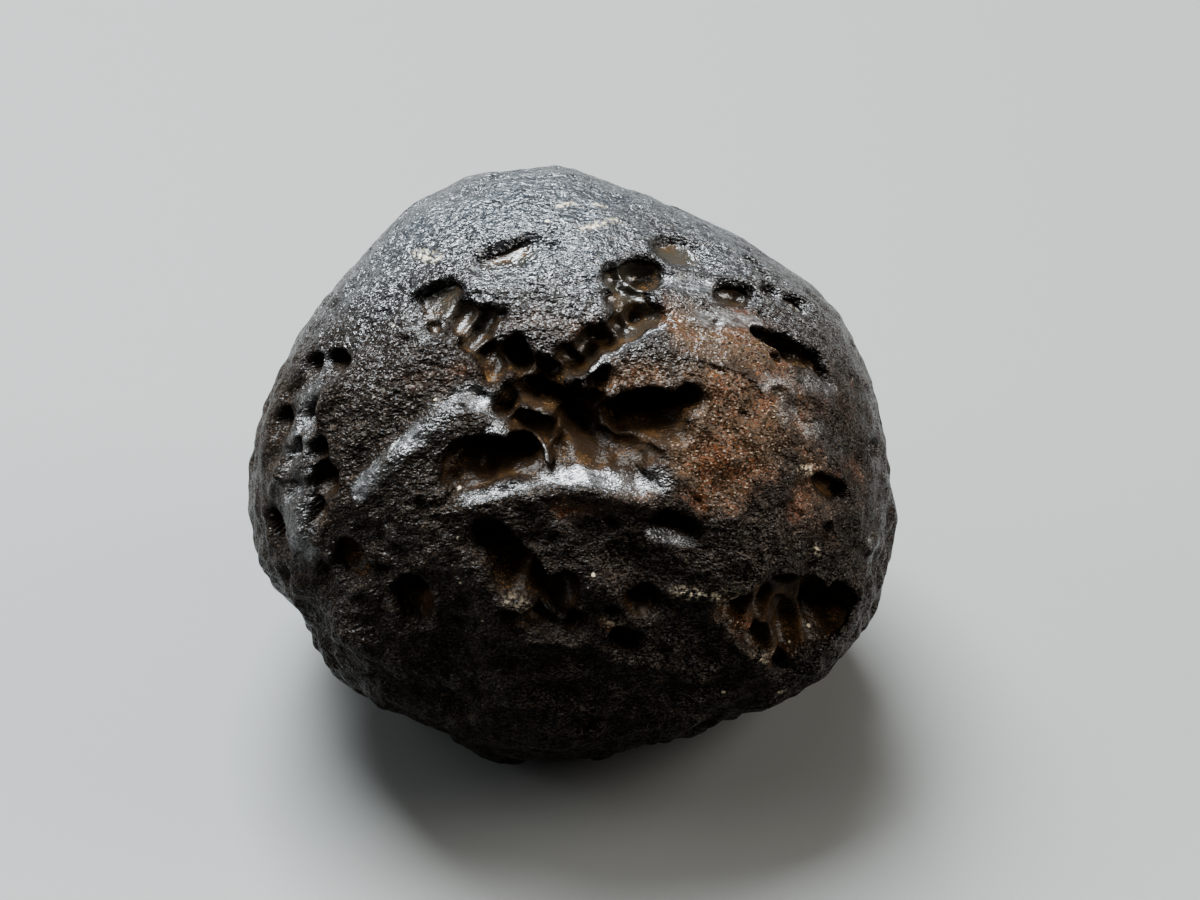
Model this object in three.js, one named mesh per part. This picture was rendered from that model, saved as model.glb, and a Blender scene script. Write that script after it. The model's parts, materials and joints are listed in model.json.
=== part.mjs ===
// A tektite: a rounded pebble of dark natural glass, grown as one piece. Its skin is etched with bubble
// pits, with worm-like grooves made of pits that run into each other, and with soft folds between them.
// It rests on one small flat spot. The part frame is in millimetres, +Z up, with the origin on the
// resting surface under the middle of the stone's outer box. The deeply pitted face looks towards -Y and up.
import * as THREE from "three";
import { mergeVertices } from "three/addons/utils/BufferGeometryUtils.js";

// Driving dimensions, in millimetres and degrees.
const FACE_RISE = 38; // how far above the horizon the pitted face looks
const SIGHT_DISTANCE = 140; // from the eye point that sights the face to the stone's middle
const FRONT_DEPTH = 12.3; // from the middle to the face
const BACK_DEPTH = 12.6; // from the middle to the back of the stone
const SQUARENESS = 2.25; // 2 rounds the stone like an ellipsoid, more makes it boxier
const REST_HEIGHT = 11.7; // of the middle above the flat resting spot
const MIDDLE = new THREE.Vector3(0, 0, REST_HEIGHT);
const PIT_LIFT = 0.4; // of a pit's ellipsoid above the surface, as a share of its half depth
const UNDERCUT = 0.45; // how far a pit's inside is drawn upwards under its upper rim, for each mm of depth
const WOBBLE_RADIUS = 13; // of the ball on which the wobble of the pits' outlines is laid out
const WOBBLES = [
  { apart: 3.6, aside: 0.12 },
  { apart: 1.6, aside: 0.07 },
]; // how far apart the waves of the pits' outlines are, and how far they reach to each side

// Distance from the middle to the stone's outline, seen square on to the face: every 15 degrees,
// starting at +across and turning towards +up.
const OUTLINE = [
  13.9, 13.6, 13.2, 12.5, 12.0, 12.1, 12.7, 12.9, 13.1, 12.85, 12.95, 13.35,
  13.9, 14.1, 13.7, 13.6, 12.9, 13.2, 12.9, 12.8, 13.1, 14.1, 14.6, 14.4,
];

// The mesh: an even ball of triangles, refined where it strays from the shape.
const BALL_DETAIL = 9;
const TRIANGLE_LIMIT = 9900;
const SHORTEST_SPLIT = 0.45; // edges shorter than this are left as they are
const CLOSE_ENOUGH = 0.05; // an edge this near to the shape is left as it is
const GAP_SAMPLES = 12; // steps along an edge when its gap to the shape is measured
const FLAT_ANGLE = 25; // triangles whose sharpest corner is below this, in degrees, are avoided
const SLIVER_COST = 0.01; // gap that one degree below it counts for

// The face's own directions: across (to the right), up, and outwards to the eye point.
const rise = THREE.MathUtils.degToRad(FACE_RISE);
const ACROSS = new THREE.Vector3(1, 0, 0);
const UP = new THREE.Vector3(0, Math.sin(rise), Math.cos(rise));
const OUT = new THREE.Vector3(0, -Math.cos(rise), Math.sin(rise));

// Soft folds on the face: places across and up, length and width, turn, and how far they stand out.
const FACE_FOLDS = [
  { across: -0.2, up: -1.4, long: 2.6, wide: 0.5, turn: 8, stands: 0.3 }, // lips under the central cavity
  { across: 2.4, up: -1.7, long: 2.6, wide: 0.5, turn: -12, stands: 0.35 },
  { across: -7.6, up: 1.5, long: 2.8, wide: 0.7, turn: 42, stands: -0.35 }, // furrow from the left flank
  { across: -7.9, up: 0.2, long: 3.2, wide: 0.7, turn: 42, stands: 0.35 }, // bank below the furrow
  { across: -2.0, up: 0.75, long: 1.5, wide: 0.35, turn: -25, stands: 0.5 }, // rim of the eye-shaped pit
  { across: 5.3, up: 8.2, long: 1.7, wide: 0.8, turn: 4, stands: -0.35 }, // saddle by the right groove
  { across: 7.4, up: 6.6, long: 2.4, wide: 1.1, turn: -10, stands: -0.2 }, // smooth patch on the shoulder
  // The cluster of soft hollows on the left flank, and the swellings between them.
  { across: -11.3, up: 4.3, long: 0.7, wide: 0.6, turn: 0, stands: -0.3 },
  { across: -10.3, up: 4.5, long: 0.7, wide: 0.6, turn: 0, stands: -0.3 },
  { across: -12.2, up: 3.4, long: 0.7, wide: 0.4, turn: 60, stands: -0.4 },
  { across: -11.6, up: 2.2, long: 0.75, wide: 0.6, turn: 45, stands: -0.4 },
  { across: -12.7, up: 1.8, long: 0.9, wide: 0.6, turn: 50, stands: -0.35 },
  { across: -11.4, up: 0.6, long: 0.6, wide: 0.55, turn: 0, stands: -0.3 },
  { across: -12.2, up: 0.5, long: 0.6, wide: 0.35, turn: 60, stands: -0.45 },
  { across: -13.1, up: 0.5, long: 0.6, wide: 0.35, turn: 20, stands: -0.4 },
  { across: -11.2, up: -0.9, long: 0.8, wide: 0.6, turn: 0, stands: -0.4 },
  { across: -12.2, up: -1.1, long: 0.5, wide: 0.4, turn: 20, stands: -0.45 },
  { across: -11.3, up: -2.1, long: 0.6, wide: 0.5, turn: 0, stands: -0.3 },
  { across: -13.1, up: -2.9, long: 0.9, wide: 0.6, turn: 60, stands: -0.55 },
  { across: -12.6, up: -4.9, long: 0.8, wide: 0.5, turn: 40, stands: -0.4 },
  { across: -11.2, up: -4.7, long: 0.8, wide: 0.5, turn: 70, stands: -0.4 },
  { across: -11.9, up: -3.2, long: 0.8, wide: 0.4, turn: 15, stands: 0.35 },
  { across: -10.7, up: 2.6, long: 1.8, wide: 0.5, turn: 48, stands: 0.35 },
  { across: -12.6, up: -0.3, long: 0.9, wide: 0.35, turn: 20, stands: 0.3 },
  // The ragged ledge over the lower right scoop.
  { across: 5.6, up: -6.0, long: 1.5, wide: 0.35, turn: -6, stands: 0.4 },
  { across: 8.6, up: -5.6, long: 2.4, wide: 0.4, turn: 5, stands: 0.5 },
  // Lips that stand out under the pits of the shaded lower part.
  { across: -6.9, up: -7.5, long: 0.9, wide: 0.35, turn: 0, stands: 0.35 },
  { across: -5.9, up: -6.5, long: 0.9, wide: 0.3, turn: 75, stands: 0.25 },
  { across: -3.1, up: -5.8, long: 2.2, wide: 0.4, turn: -47, stands: 0.4 },
  { across: -1.4, up: -7.8, long: 0.8, wide: 0.3, turn: 0, stands: 0.35 },
  { across: 0.0, up: -7.9, long: 0.6, wide: 0.3, turn: 0, stands: 0.3 },
  { across: 2.3, up: -8.7, long: 0.7, wide: 0.3, turn: -20, stands: 0.35 },
  { across: 3.3, up: -6.9, long: 0.8, wide: 0.3, turn: 0, stands: 0.35 },
  { across: -9.4, up: -5.6, long: 1.0, wide: 0.35, turn: -20, stands: 0.3 },
  { across: -0.5, up: -9.4, long: 2.2, wide: 0.35, turn: 5, stands: 0.3 },
  // Soft hollows between them.
  { across: 0.5, up: -3.6, long: 4.6, wide: 0.9, turn: 4, stands: -0.3 },
  { across: 3.0, up: -4.6, long: 1.7, wide: 0.8, turn: -10, stands: -0.4 },
  { across: 5.9, up: -8.0, long: 2.4, wide: 1.2, turn: -25, stands: -0.5 },
  { across: -4.9, up: -8.4, long: 2.2, wide: 1.0, turn: -35, stands: -0.4 },
  { across: -8.4, up: -5.6, long: 0.8, wide: 1.2, turn: 0, stands: -0.3 },
  { across: -6.2, up: -10.4, long: 2.4, wide: 0.8, turn: -25, stands: -0.35 },
  { across: 4.6, up: -10.4, long: 3.0, wide: 0.9, turn: 14, stands: -0.35 },
  { across: -9.6, up: -7.4, long: 1.6, wide: 0.8, turn: -40, stands: 0.3 },
];

// Soft folds round the hidden sides: azimuth and height angle from the middle, then as above.
const SIDE_FOLDS = [
  { azimuth: 18, height: 12, long: 6.0, wide: 2.4, turn: 35, stands: -0.7 },
  { azimuth: 48, height: 30, long: 5.0, wide: 1.6, turn: 20, stands: 0.5 },
  { azimuth: 78, height: 22, long: 5.5, wide: 2.6, turn: -35, stands: -0.9 },
  { azimuth: 108, height: -12, long: 6.5, wide: 2.2, turn: 12, stands: 0.6 },
  { azimuth: 112, height: 40, long: 4.0, wide: 1.5, turn: 70, stands: 0.45 },
  { azimuth: 124, height: 10, long: 4.5, wide: 2.4, turn: 55, stands: -0.8 },
  { azimuth: 160, height: -25, long: 5.0, wide: 2.0, turn: -20, stands: 0.4 },
  { azimuth: 190, height: -22, long: 5.0, wide: 1.6, turn: 15, stands: -0.4 },
  { azimuth: 62, height: -30, long: 5.0, wide: 2.2, turn: -10, stands: -0.6 },
  { azimuth: 20, height: -32, long: 4.0, wide: 1.4, turn: 25, stands: 0.35 },
];

// Pits on the face: places across and up, width and height of the mouth, depth, turn in the face, and
// lean. A shallow scoop with a lean below 0 is deep under its upper rim and runs out below.
const FACE_PITS = [
  // The left groove: its broad upper scoop, open to the lower left, then cups down to the drop-shaped end.
  { across: -5.9, up: 6.4, wide: 3.2, tall: 3.6, deep: 0.3, turn: 18, lean: -14 },
  { across: -4.9, up: 6.3, wide: 1.6, tall: 1.6, deep: 0.8, turn: 0, lean: 0 },
  { across: -3.9, up: 6.1, wide: 1.3, tall: 1.6, deep: 0.9, turn: 0, lean: 0 },
  { across: -4.2, up: 5.5, wide: 1.6, tall: 1.5, deep: 1.0, turn: -25, lean: 0 },
  { across: -3.5, up: 4.3, wide: 1.4, tall: 2.1, deep: 1.1, turn: 8, lean: 0 },
  { across: -3.1, up: 6.4, wide: 0.7, tall: 0.8, deep: 0.5, turn: 0, lean: 0 },
  // Deep cups along the top of the central cavity, and on up the right groove.
  { across: -2.3, up: 4.6, wide: 1.3, tall: 1.9, deep: 1.5, turn: 0, lean: 0 },
  { across: -1.7, up: 3.1, wide: 2.0, tall: 1.3, deep: 1.5, turn: 0, lean: 0 },
  { across: -1.1, up: 3.9, wide: 1.7, tall: 1.7, deep: 1.3, turn: 0, lean: 0 },
  { across: 0.1, up: 4.6, wide: 1.6, tall: 1.5, deep: 1.3, turn: 20, lean: 0 },
  { across: 1.0, up: 5.0, wide: 1.6, tall: 1.5, deep: 1.2, turn: 25, lean: 0 },
  { across: 1.8, up: 5.3, wide: 1.6, tall: 1.6, deep: 1.1, turn: 40, lean: 0 },
  { across: 2.5, up: 5.9, wide: 1.7, tall: 1.7, deep: 1.1, turn: 40, lean: 0 },
  { across: 3.2, up: 6.6, wide: 2.1, tall: 2.0, deep: 1.2, turn: 20, lean: 0 },
  { across: 3.1, up: 7.5, wide: 1.9, tall: 1.2, deep: 0.8, turn: 0, lean: 0 },
  { across: 3.4, up: 8.5, wide: 2.2, tall: 1.9, deep: 1.2, turn: 0, lean: 0 },
  { across: 2.0, up: 7.0, wide: 1.3, tall: 1.2, deep: 0.45, turn: 0, lean: 0 },
  { across: 2.2, up: 8.1, wide: 1.5, tall: 1.3, deep: 0.8, turn: 0, lean: 0 },
  { across: 1.2, up: 3.6, wide: 1.3, tall: 1.0, deep: 0.7, turn: -10, lean: 0 },
  { across: 1.1, up: 2.9, wide: 0.7, tall: 0.6, deep: 0.4, turn: 0, lean: 0 },
  { across: 0.1, up: 3.3, wide: 0.5, tall: 1.1, deep: 0.6, turn: -30, lean: 0 },
  // The central cavity: its polished lower slope first, then the deep cups under its upper rim.
  { across: -0.5, up: -0.75, wide: 3.6, tall: 3.4, deep: 0.25, turn: 10, lean: -53 },
  { across: 1.9, up: -1.0, wide: 3.8, tall: 3.4, deep: 0.2, turn: -14, lean: -50 },
  { across: 1.2, up: 0.5, wide: 5.2, tall: 2.1, deep: 1.4, turn: -5, lean: 0 },
  { across: 3.1, up: 1.9, wide: 4.4, tall: 2.3, deep: 2.0, turn: 2, lean: 0 },
  { across: 0.5, up: 1.5, wide: 2.1, tall: 2.6, deep: 2.2, turn: 0, lean: 0 },
  { across: -0.4, up: 2.7, wide: 3.6, tall: 1.3, deep: 2.2, turn: -5, lean: 0 },
  { across: 0.9, up: 2.5, wide: 1.5, tall: 1.5, deep: 1.8, turn: 0, lean: 0 },
  { across: 5.1, up: 2.5, wide: 1.5, tall: 1.4, deep: 1.2, turn: 0, lean: 0 },
  { across: 4.7, up: 1.4, wide: 1.4, tall: 1.1, deep: 0.8, turn: 40, lean: 0 },
  { across: -0.1, up: 0.7, wide: 0.9, tall: 0.9, deep: 0.8, turn: 0, lean: 0 },
  // Scoops of the cluster on the left flank.
  { across: -11.5, up: 4.1, wide: 1.6, tall: 1.5, deep: 0.35, turn: 10, lean: -22 },
  { across: -10.3, up: 4.3, wide: 1.6, tall: 1.5, deep: 0.35, turn: 0, lean: -22 },
  { across: -11.6, up: 1.9, wide: 1.5, tall: 1.6, deep: 0.35, turn: 25, lean: -22 },
  { across: -12.8, up: 1.5, wide: 1.5, tall: 1.4, deep: 0.3, turn: 30, lean: -20 },
  { across: -11.2, up: 0.2, wide: 1.3, tall: 1.5, deep: 0.35, turn: 0, lean: -22 },
  { across: -12.3, up: 0.1, wide: 1.1, tall: 1.3, deep: 0.3, turn: 10, lean: -20 },
  { across: -11.1, up: -1.2, wide: 1.8, tall: 1.5, deep: 0.35, turn: 0, lean: -22 },
  { across: -11.4, up: -2.5, wide: 1.3, tall: 1.3, deep: 0.35, turn: -10, lean: -22 },
  { across: -13.1, up: -2.9, wide: 1.4, tall: 1.3, deep: 0.3, turn: 20, lean: -20 },
  // Small cups and the eye-shaped pit left of the cavity.
  { across: -4.0, up: 3.0, wide: 1.1, tall: 0.9, deep: 0.4, turn: 0, lean: 0 },
  { across: -2.8, up: 2.6, wide: 1.5, tall: 1.4, deep: 0.9, turn: -15, lean: 0 },
  { across: -1.7, up: 1.4, wide: 2.6, tall: 1.4, deep: 1.1, turn: -25, lean: 0 },
  // The wide pit low on the left of the cavity.
  { across: -3.9, up: -1.3, wide: 3.8, tall: 3.0, deep: 0.2, turn: 8, lean: -52 },
  { across: -3.6, up: -0.1, wide: 4.7, tall: 2.2, deep: 1.4, turn: 8, lean: 0 },
  { across: -3.4, up: 0.2, wide: 4.1, tall: 1.8, deep: 1.9, turn: 6, lean: 0 },
  // Shallow crescents on the brow, open below.
  { across: -2.4, up: 8.6, wide: 3.8, tall: 3.2, deep: 0.3, turn: 12, lean: -14 },
  { across: 5.1, up: 8.8, wide: 3.2, tall: 3.2, deep: 0.3, turn: -8, lean: -15 },
  // The right shoulder.
  { across: 7.4, up: 7.4, wide: 2.4, tall: 1.4, deep: 0.8, turn: -5, lean: 0 },
  { across: 9.0, up: 7.4, wide: 1.5, tall: 1.0, deep: 0.5, turn: -20, lean: 0 },
  { across: 8.2, up: 8.7, wide: 1.2, tall: 0.8, deep: 0.35, turn: -30, lean: 0 },
  { across: 8.6, up: 8.2, wide: 1.2, tall: 0.6, deep: 0.3, turn: -30, lean: 0 },
  { across: 10.1, up: 6.9, wide: 1.4, tall: 1.2, deep: 0.6, turn: 0, lean: 0 },
  { across: 6.4, up: 6.3, wide: 0.6, tall: 0.4, deep: 0.3, turn: 0, lean: 0 },
  { across: 9.0, up: 2.9, wide: 0.6, tall: 0.5, deep: 0.3, turn: 0, lean: 0 },
  { across: 7.5, up: 2.0, wide: 0.5, tall: 0.4, deep: 0.3, turn: 0, lean: 0 },
  // The ragged pit on the right shoulder.
  { across: 8.7, up: 5.7, wide: 1.6, tall: 0.9, deep: 0.9, turn: -20, lean: 0 },
  { across: 9.4, up: 5.4, wide: 1.5, tall: 1.1, deep: 1.1, turn: -40, lean: 0 },
  { across: 10.0, up: 4.8, wide: 1.8, tall: 1.3, deep: 1.2, turn: -40, lean: 0 },
  { across: 10.8, up: 4.4, wide: 1.5, tall: 1.1, deep: 1.0, turn: -20, lean: 0 },
  { across: 11.2, up: 3.8, wide: 1.9, tall: 0.9, deep: 0.7, turn: -40, lean: 0 },
  { across: 9.3, up: 4.6, wide: 1.0, tall: 0.7, deep: 0.6, turn: 0, lean: 0 },
  // The right flank.
  { across: 11.3, up: -1.2, wide: 2.2, tall: 1.2, deep: 0.7, turn: -10, lean: 0 },
  { across: 13.3, up: 0.6, wide: 1.4, tall: 0.9, deep: 0.5, turn: 0, lean: 0 },
  // Pits on the shaded lower part of the face.
  { across: -9.8, up: -4.4, wide: 2.1, tall: 1.9, deep: 1.1, turn: -50, lean: 0 },
  { across: -6.9, up: -6.2, wide: 1.9, tall: 2.6, deep: 1.3, turn: 0, lean: 0 },
  { across: -3.7, up: -3.4, wide: 1.7, tall: 1.7, deep: 1.1, turn: 0, lean: 0 },
  { across: -3.0, up: -4.2, wide: 1.7, tall: 1.5, deep: 1.2, turn: -40, lean: 0 },
  { across: -2.3, up: -5.0, wide: 2.4, tall: 2.2, deep: 1.5, turn: -40, lean: 0 },
  { across: -1.4, up: -5.7, wide: 2.0, tall: 1.5, deep: 1.4, turn: -30, lean: 0 },
  { across: -0.4, up: -5.8, wide: 1.7, tall: 2.1, deep: 1.5, turn: 0, lean: 0 },
  { across: -1.4, up: -7.1, wide: 1.7, tall: 1.1, deep: 1.0, turn: 0, lean: 0 },
  { across: 0.0, up: -7.2, wide: 1.2, tall: 1.1, deep: 0.8, turn: 0, lean: 0 },
  { across: -2.7, up: -6.8, wide: 0.7, tall: 0.7, deep: 0.4, turn: 0, lean: 0 },
  { across: 1.8, up: -6.8, wide: 0.8, tall: 0.7, deep: 0.5, turn: 0, lean: 0 },
  { across: 2.2, up: -7.9, wide: 1.4, tall: 1.4, deep: 1.0, turn: 10, lean: 0 },
  { across: 3.2, up: -6.1, wide: 1.6, tall: 1.4, deep: 1.0, turn: 0, lean: 0 },
  { across: 4.6, up: -3.0, wide: 2.3, tall: 1.1, deep: 0.5, turn: -10, lean: 0 },
  { across: 1.8, up: -2.7, wide: 0.7, tall: 0.5, deep: 0.25, turn: 0, lean: 0 },
  // The scoop low on the right, black under its ledge, with a broken floor.
  { across: 9.2, up: -7.1, wide: 5.4, tall: 4.2, deep: 0.9, turn: -12, lean: -20 },
  { across: 11.3, up: -6.9, wide: 2.2, tall: 3.2, deep: 1.9, turn: 10, lean: 0 },
  { across: 9.9, up: -5.8, wide: 3.2, tall: 1.3, deep: 1.6, turn: 0, lean: 0 },
  { across: 7.3, up: -6.6, wide: 1.7, tall: 1.6, deep: 1.0, turn: 0, lean: 0 },
  { across: 8.3, up: -8.2, wide: 1.7, tall: 1.4, deep: 1.2, turn: -40, lean: 0 },
  { across: 9.2, up: -8.9, wide: 1.5, tall: 1.2, deep: 0.7, turn: -40, lean: 0 },
  { across: 8.6, up: -7.0, wide: 1.5, tall: 1.3, deep: 1.4, turn: 0, lean: 0 },
  { across: 9.9, up: -7.6, wide: 1.3, tall: 2.4, deep: 1.5, turn: 12, lean: 0 },
  // Shallow marks near the foot.
  { across: -0.2, up: -10.0, wide: 2.6, tall: 1.2, deep: 0.4, turn: 0, lean: 0 },
  { across: -2.7, up: -9.1, wide: 1.8, tall: 1.2, deep: 0.35, turn: -20, lean: 0 },
  { across: -4.9, up: -10.9, wide: 1.6, tall: 0.9, deep: 0.3, turn: -30, lean: 0 },
  { across: 0.6, up: -11.6, wide: 1.6, tall: 1.4, deep: 0.4, turn: 0, lean: 0 },
];

// Grooves round the hidden sides, each a run of cups from one azimuth and height angle to another.
// Sway bows the run sideways, in degrees.
const SIDE_GROOVES = [
  { from: [43, 29], to: [60, 20], sway: 5, cups: 4, wide: 2.1, deep: 1.2 },
  { from: [60, 20], to: [72, -16], sway: -7, cups: 7, wide: 1.8, deep: 1.1 },
  { from: [64, 14], to: [92, 4], sway: 4, cups: 5, wide: 1.6, deep: 0.9 },
  { from: [106, 42], to: [124, 14], sway: 8, cups: 7, wide: 2.1, deep: 1.2 },
  { from: [126, 12], to: [166, -2], sway: -7, cups: 7, wide: 1.7, deep: 1.0 },
  { from: [168, -6], to: [178, -34], sway: 6, cups: 5, wide: 1.9, deep: 1.0 },
  { from: [10, -12], to: [38, -30], sway: 6, cups: 5, wide: 1.7, deep: 1.0 },
  { from: [94, -16], to: [130, -36], sway: 7, cups: 6, wide: 1.9, deep: 1.1 },
];

// Single pits round the hidden sides: azimuth, height angle, width, height, depth and turn.
const SIDE_PITS = [
  { azimuth: 84, height: 12, wide: 3.6, tall: 2.5, deep: 1.4, turn: 15 },
  { azimuth: 136, height: 0, wide: 3.0, tall: 2.4, deep: 1.3, turn: -20 },
  { azimuth: 114, height: 38, wide: 3.2, tall: 2.2, deep: 1.1, turn: 25 },
  { azimuth: 28, height: 19, wide: 2.8, tall: 2.0, deep: 1.1, turn: -30 },
  { azimuth: 34, height: 2, wide: 2.6, tall: 1.8, deep: 0.9, turn: -25 },
  { azimuth: 44, height: -8, wide: 1.6, tall: 1.3, deep: 0.7, turn: 0 },
  { azimuth: 20, height: 8, wide: 1.8, tall: 1.2, deep: 0.6, turn: 20 },
  { azimuth: 352, height: -26, wide: 2.2, tall: 1.5, deep: 0.8, turn: 0 },
  { azimuth: 84, height: 43, wide: 2.4, tall: 1.6, deep: 0.5, turn: 40 },
  { azimuth: 140, height: 24, wide: 1.8, tall: 1.2, deep: 0.4, turn: -20 },
  { azimuth: 150, height: -22, wide: 2.8, tall: 1.9, deep: 1.0, turn: -15 },
  { azimuth: 170, height: -34, wide: 1.6, tall: 1.4, deep: 0.6, turn: 0 },
  { azimuth: 186, height: 6, wide: 2.2, tall: 1.5, deep: 0.7, turn: 35 },
  { azimuth: 76, height: -36, wide: 2.6, tall: 1.8, deep: 0.9, turn: 10 },
  { azimuth: 50, height: -40, wide: 1.7, tall: 1.3, deep: 0.6, turn: 0 },
  { azimuth: 112, height: -6, wide: 1.5, tall: 1.5, deep: 0.8, turn: 0 },
  { azimuth: 104, height: 24, wide: 1.5, tall: 1.2, deep: 0.6, turn: 0 },
  { azimuth: 218, height: -34, wide: 2.0, tall: 1.4, deep: 0.6, turn: -10 },
];

// The outline's distance at an angle in radians, on a smooth closed curve through its points.
function outlineAt(angle) {
  const count = OUTLINE.length;
  const place = (((angle / (2 * Math.PI)) * count) % count + count) % count;
  const first = Math.floor(place);
  const t = place - first;
  const [a, b, c, d] = [-1, 0, 1, 2].map((k) => OUTLINE[(first + k + count) % count]);
  return b + 0.5 * t * (c - a + t * (2 * a - 5 * b + 4 * c - d + t * (3 * (b - c) + d - a)));
}

// The plain body's distance from the middle along a unit direction.
function bodyRadius(direction) {
  const across = direction.dot(ACROSS);
  const up = direction.dot(UP);
  const out = direction.dot(OUT);
  const side = Math.hypot(across, up) / outlineAt(Math.atan2(up, across));
  const depth = Math.abs(out) / (out > 0 ? FRONT_DEPTH : BACK_DEPTH);
  return (side ** SQUARENESS + depth ** SQUARENESS) ** (-1 / SQUARENESS);
}

// The point where the line from the eye point through a place on the face meets the plain body.
function sighted(across, up) {
  const at = (share) =>
    new THREE.Vector3()
      .addScaledVector(ACROSS, across * share)
      .addScaledVector(UP, up * share)
      .addScaledVector(OUT, SIGHT_DISTANCE * (1 - share));
  let outside = 1 - 1.3 * (FRONT_DEPTH / SIGHT_DISTANCE);
  let inside = 1;
  for (let step = 0; step < 40; step++) {
    const half = (outside + inside) / 2;
    const point = at(half);
    const length = point.length();
    if (length > bodyRadius(point.normalize())) outside = half;
    else inside = half;
  }
  return at(inside);
}

// The point of the plain body at an azimuth (0 along +X, 90 along +Y) and a height angle, in degrees.
function pointed(azimuth, height) {
  const [turn, lift] = [azimuth, height].map(THREE.MathUtils.degToRad);
  const level = Math.cos(lift);
  const direction = new THREE.Vector3(level * Math.cos(turn), level * Math.sin(turn), Math.sin(lift));
  return direction.multiplyScalar(bodyRadius(direction));
}

// Directions at a point of the surface: its turned sideways and upward directions, and outwards.
function axesAt(point, upward, turn) {
  const outwards = point.clone().normalize();
  const sideways = upward.clone().cross(outwards).normalize();
  const along = outwards.clone().cross(sideways);
  const angle = THREE.MathUtils.degToRad(turn);
  const turned = sideways.clone().multiplyScalar(Math.cos(angle)).addScaledVector(along, Math.sin(angle));
  return { sideways: turned, upwards: outwards.clone().cross(turned), outwards };
}

const VERTICAL = new THREE.Vector3(0, 0, 1);

const folds = [
  ...FACE_FOLDS.map((f) => ({ ...f, point: sighted(f.across, f.up), upward: UP })),
  ...SIDE_FOLDS.map((f) => ({ ...f, point: pointed(f.azimuth, f.height), upward: VERTICAL })),
].map((f) => ({ ...f, axes: axesAt(f.point, f.upward, f.turn) }));

// The body's distance from the middle with its soft folds, each a bell-shaped swelling or hollow.
const offset = new THREE.Vector3();
function foldedRadius(direction) {
  const radius = bodyRadius(direction);
  let folded = radius;
  for (const { point, axes, long, wide, stands } of folds) {
    if (direction.dot(axes.outwards) < 0) continue;
    offset.copy(direction).multiplyScalar(radius).sub(point);
    const s = offset.dot(axes.sideways) / long;
    const t = offset.dot(axes.upwards) / wide;
    folded += stands * Math.exp(-(s * s + t * t));
  }
  return folded;
}

// One pit: the lower part of an ellipsoid, turned and leaned with its mouth. The ellipsoid's centre is
// lifted off the folded body, so that its walls slope. It is kept as the way back from the stone's space
// to the space where the ellipsoid is a unit ball.
function makePit({ point, upward, wide, tall, deep, turn, lean = 0 }) {
  const heading = point.clone().normalize();
  const swell = 1 / Math.sqrt(1 - PIT_LIFT ** 2);
  const halves = [(wide / 2) * swell, (tall / 2) * swell, deep / (1 - PIT_LIFT)];
  const centre = heading.clone().multiplyScalar(foldedRadius(heading) + PIT_LIFT * halves[2]);
  const axes = axesAt(centre, upward, turn);
  const inverse = new THREE.Matrix4()
    .makeBasis(axes.sideways, axes.upwards, axes.outwards)
    .multiply(new THREE.Matrix4().makeRotationX(THREE.MathUtils.degToRad(lean)))
    .multiply(new THREE.Matrix4().makeScale(...halves))
    .setPosition(centre)
    .invert();
  return {
    heading,
    reach: Math.cos((1.2 * Math.max(...halves)) / centre.length()),
    middle: new THREE.Vector3().applyMatrix4(inverse),
    inverse: new THREE.Matrix3().setFromMatrix4(inverse),
  };
}

// A groove's cups, spread along its run, wider and narrower by turns.
function cupsOf({ from, to, sway, cups, wide, deep }) {
  return Array.from({ length: cups }, (_, i) => {
    const t = i / (cups - 1);
    const bow = sway * Math.sin(Math.PI * t);
    const swell = 1 + 0.25 * Math.cos(2.4 * i);
    return {
      point: pointed(from[0] + (to[0] - from[0]) * t + bow, from[1] + (to[1] - from[1]) * t + bow / 2),
      upward: VERTICAL,
      wide: wide * swell,
      tall: wide * swell,
      deep: deep * swell,
      turn: 0,
    };
  });
}

const pits = [
  ...FACE_PITS.map((p) => ({ ...p, point: sighted(p.across, p.up), upward: UP })),
  ...SIDE_PITS.map((p) => ({ ...p, point: pointed(p.azimuth, p.height), upward: VERTICAL })),
  ...SIDE_GROOVES.flatMap(cupsOf),
].map(makePit);

// A direction turned slightly aside, so that the outlines of the pits wobble like etched ones. Each
// coordinate is moved by waves that run across the other two.
function wobbled(direction) {
  const { x, y, z } = direction.clone().multiplyScalar(WOBBLE_RADIUS);
  const wave = (ahead, phase) =>
    WOBBLES.map(({ apart, aside }) => aside * Math.sin((2 * Math.PI * ahead) / apart + phase))
      .reduce((sum, height) => sum + height);
  const moved = [x + wave(y + 0.6 * z, 1), y + wave(z + 0.6 * x, 2), z + wave(x + 0.6 * y, 3)];
  return new THREE.Vector3(...moved).normalize();
}

// Where a way out from the middle runs inside a pit's ellipsoid, as [inner, outer] distances.
const ray = new THREE.Vector3();
function spanIn(pit, direction) {
  ray.copy(direction).applyMatrix3(pit.inverse);
  const a = ray.lengthSq();
  const b = ray.dot(pit.middle);
  const under = b * b - a * (pit.middle.lengthSq() - 1);
  return under > 0 ? [(-b - Math.sqrt(under)) / a, (-b + Math.sqrt(under)) / a] : undefined;
}

// The pitted skin's distance from the middle along a unit direction: in from the folded body, down
// through every pit that is met on the way.
function pittedRadius(direction) {
  let radius = foldedRadius(direction);
  const aside = wobbled(direction);
  const spans = pits
    .filter((pit) => aside.dot(pit.heading) > pit.reach)
    .map((pit) => spanIn(pit, aside))
    .filter(Boolean);
  const nextPit = () => spans.find(([inner, outer]) => inner < radius && radius <= outer);
  for (let met = nextPit(); met; met = nextPit()) radius = met[0];
  return radius;
}

// The same, but not below the resting surface.
function surfaceRadius(direction) {
  const radius = pittedRadius(direction);
  return direction.z < 0 ? Math.min(radius, -REST_HEIGHT / direction.z) : radius;
}

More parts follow.
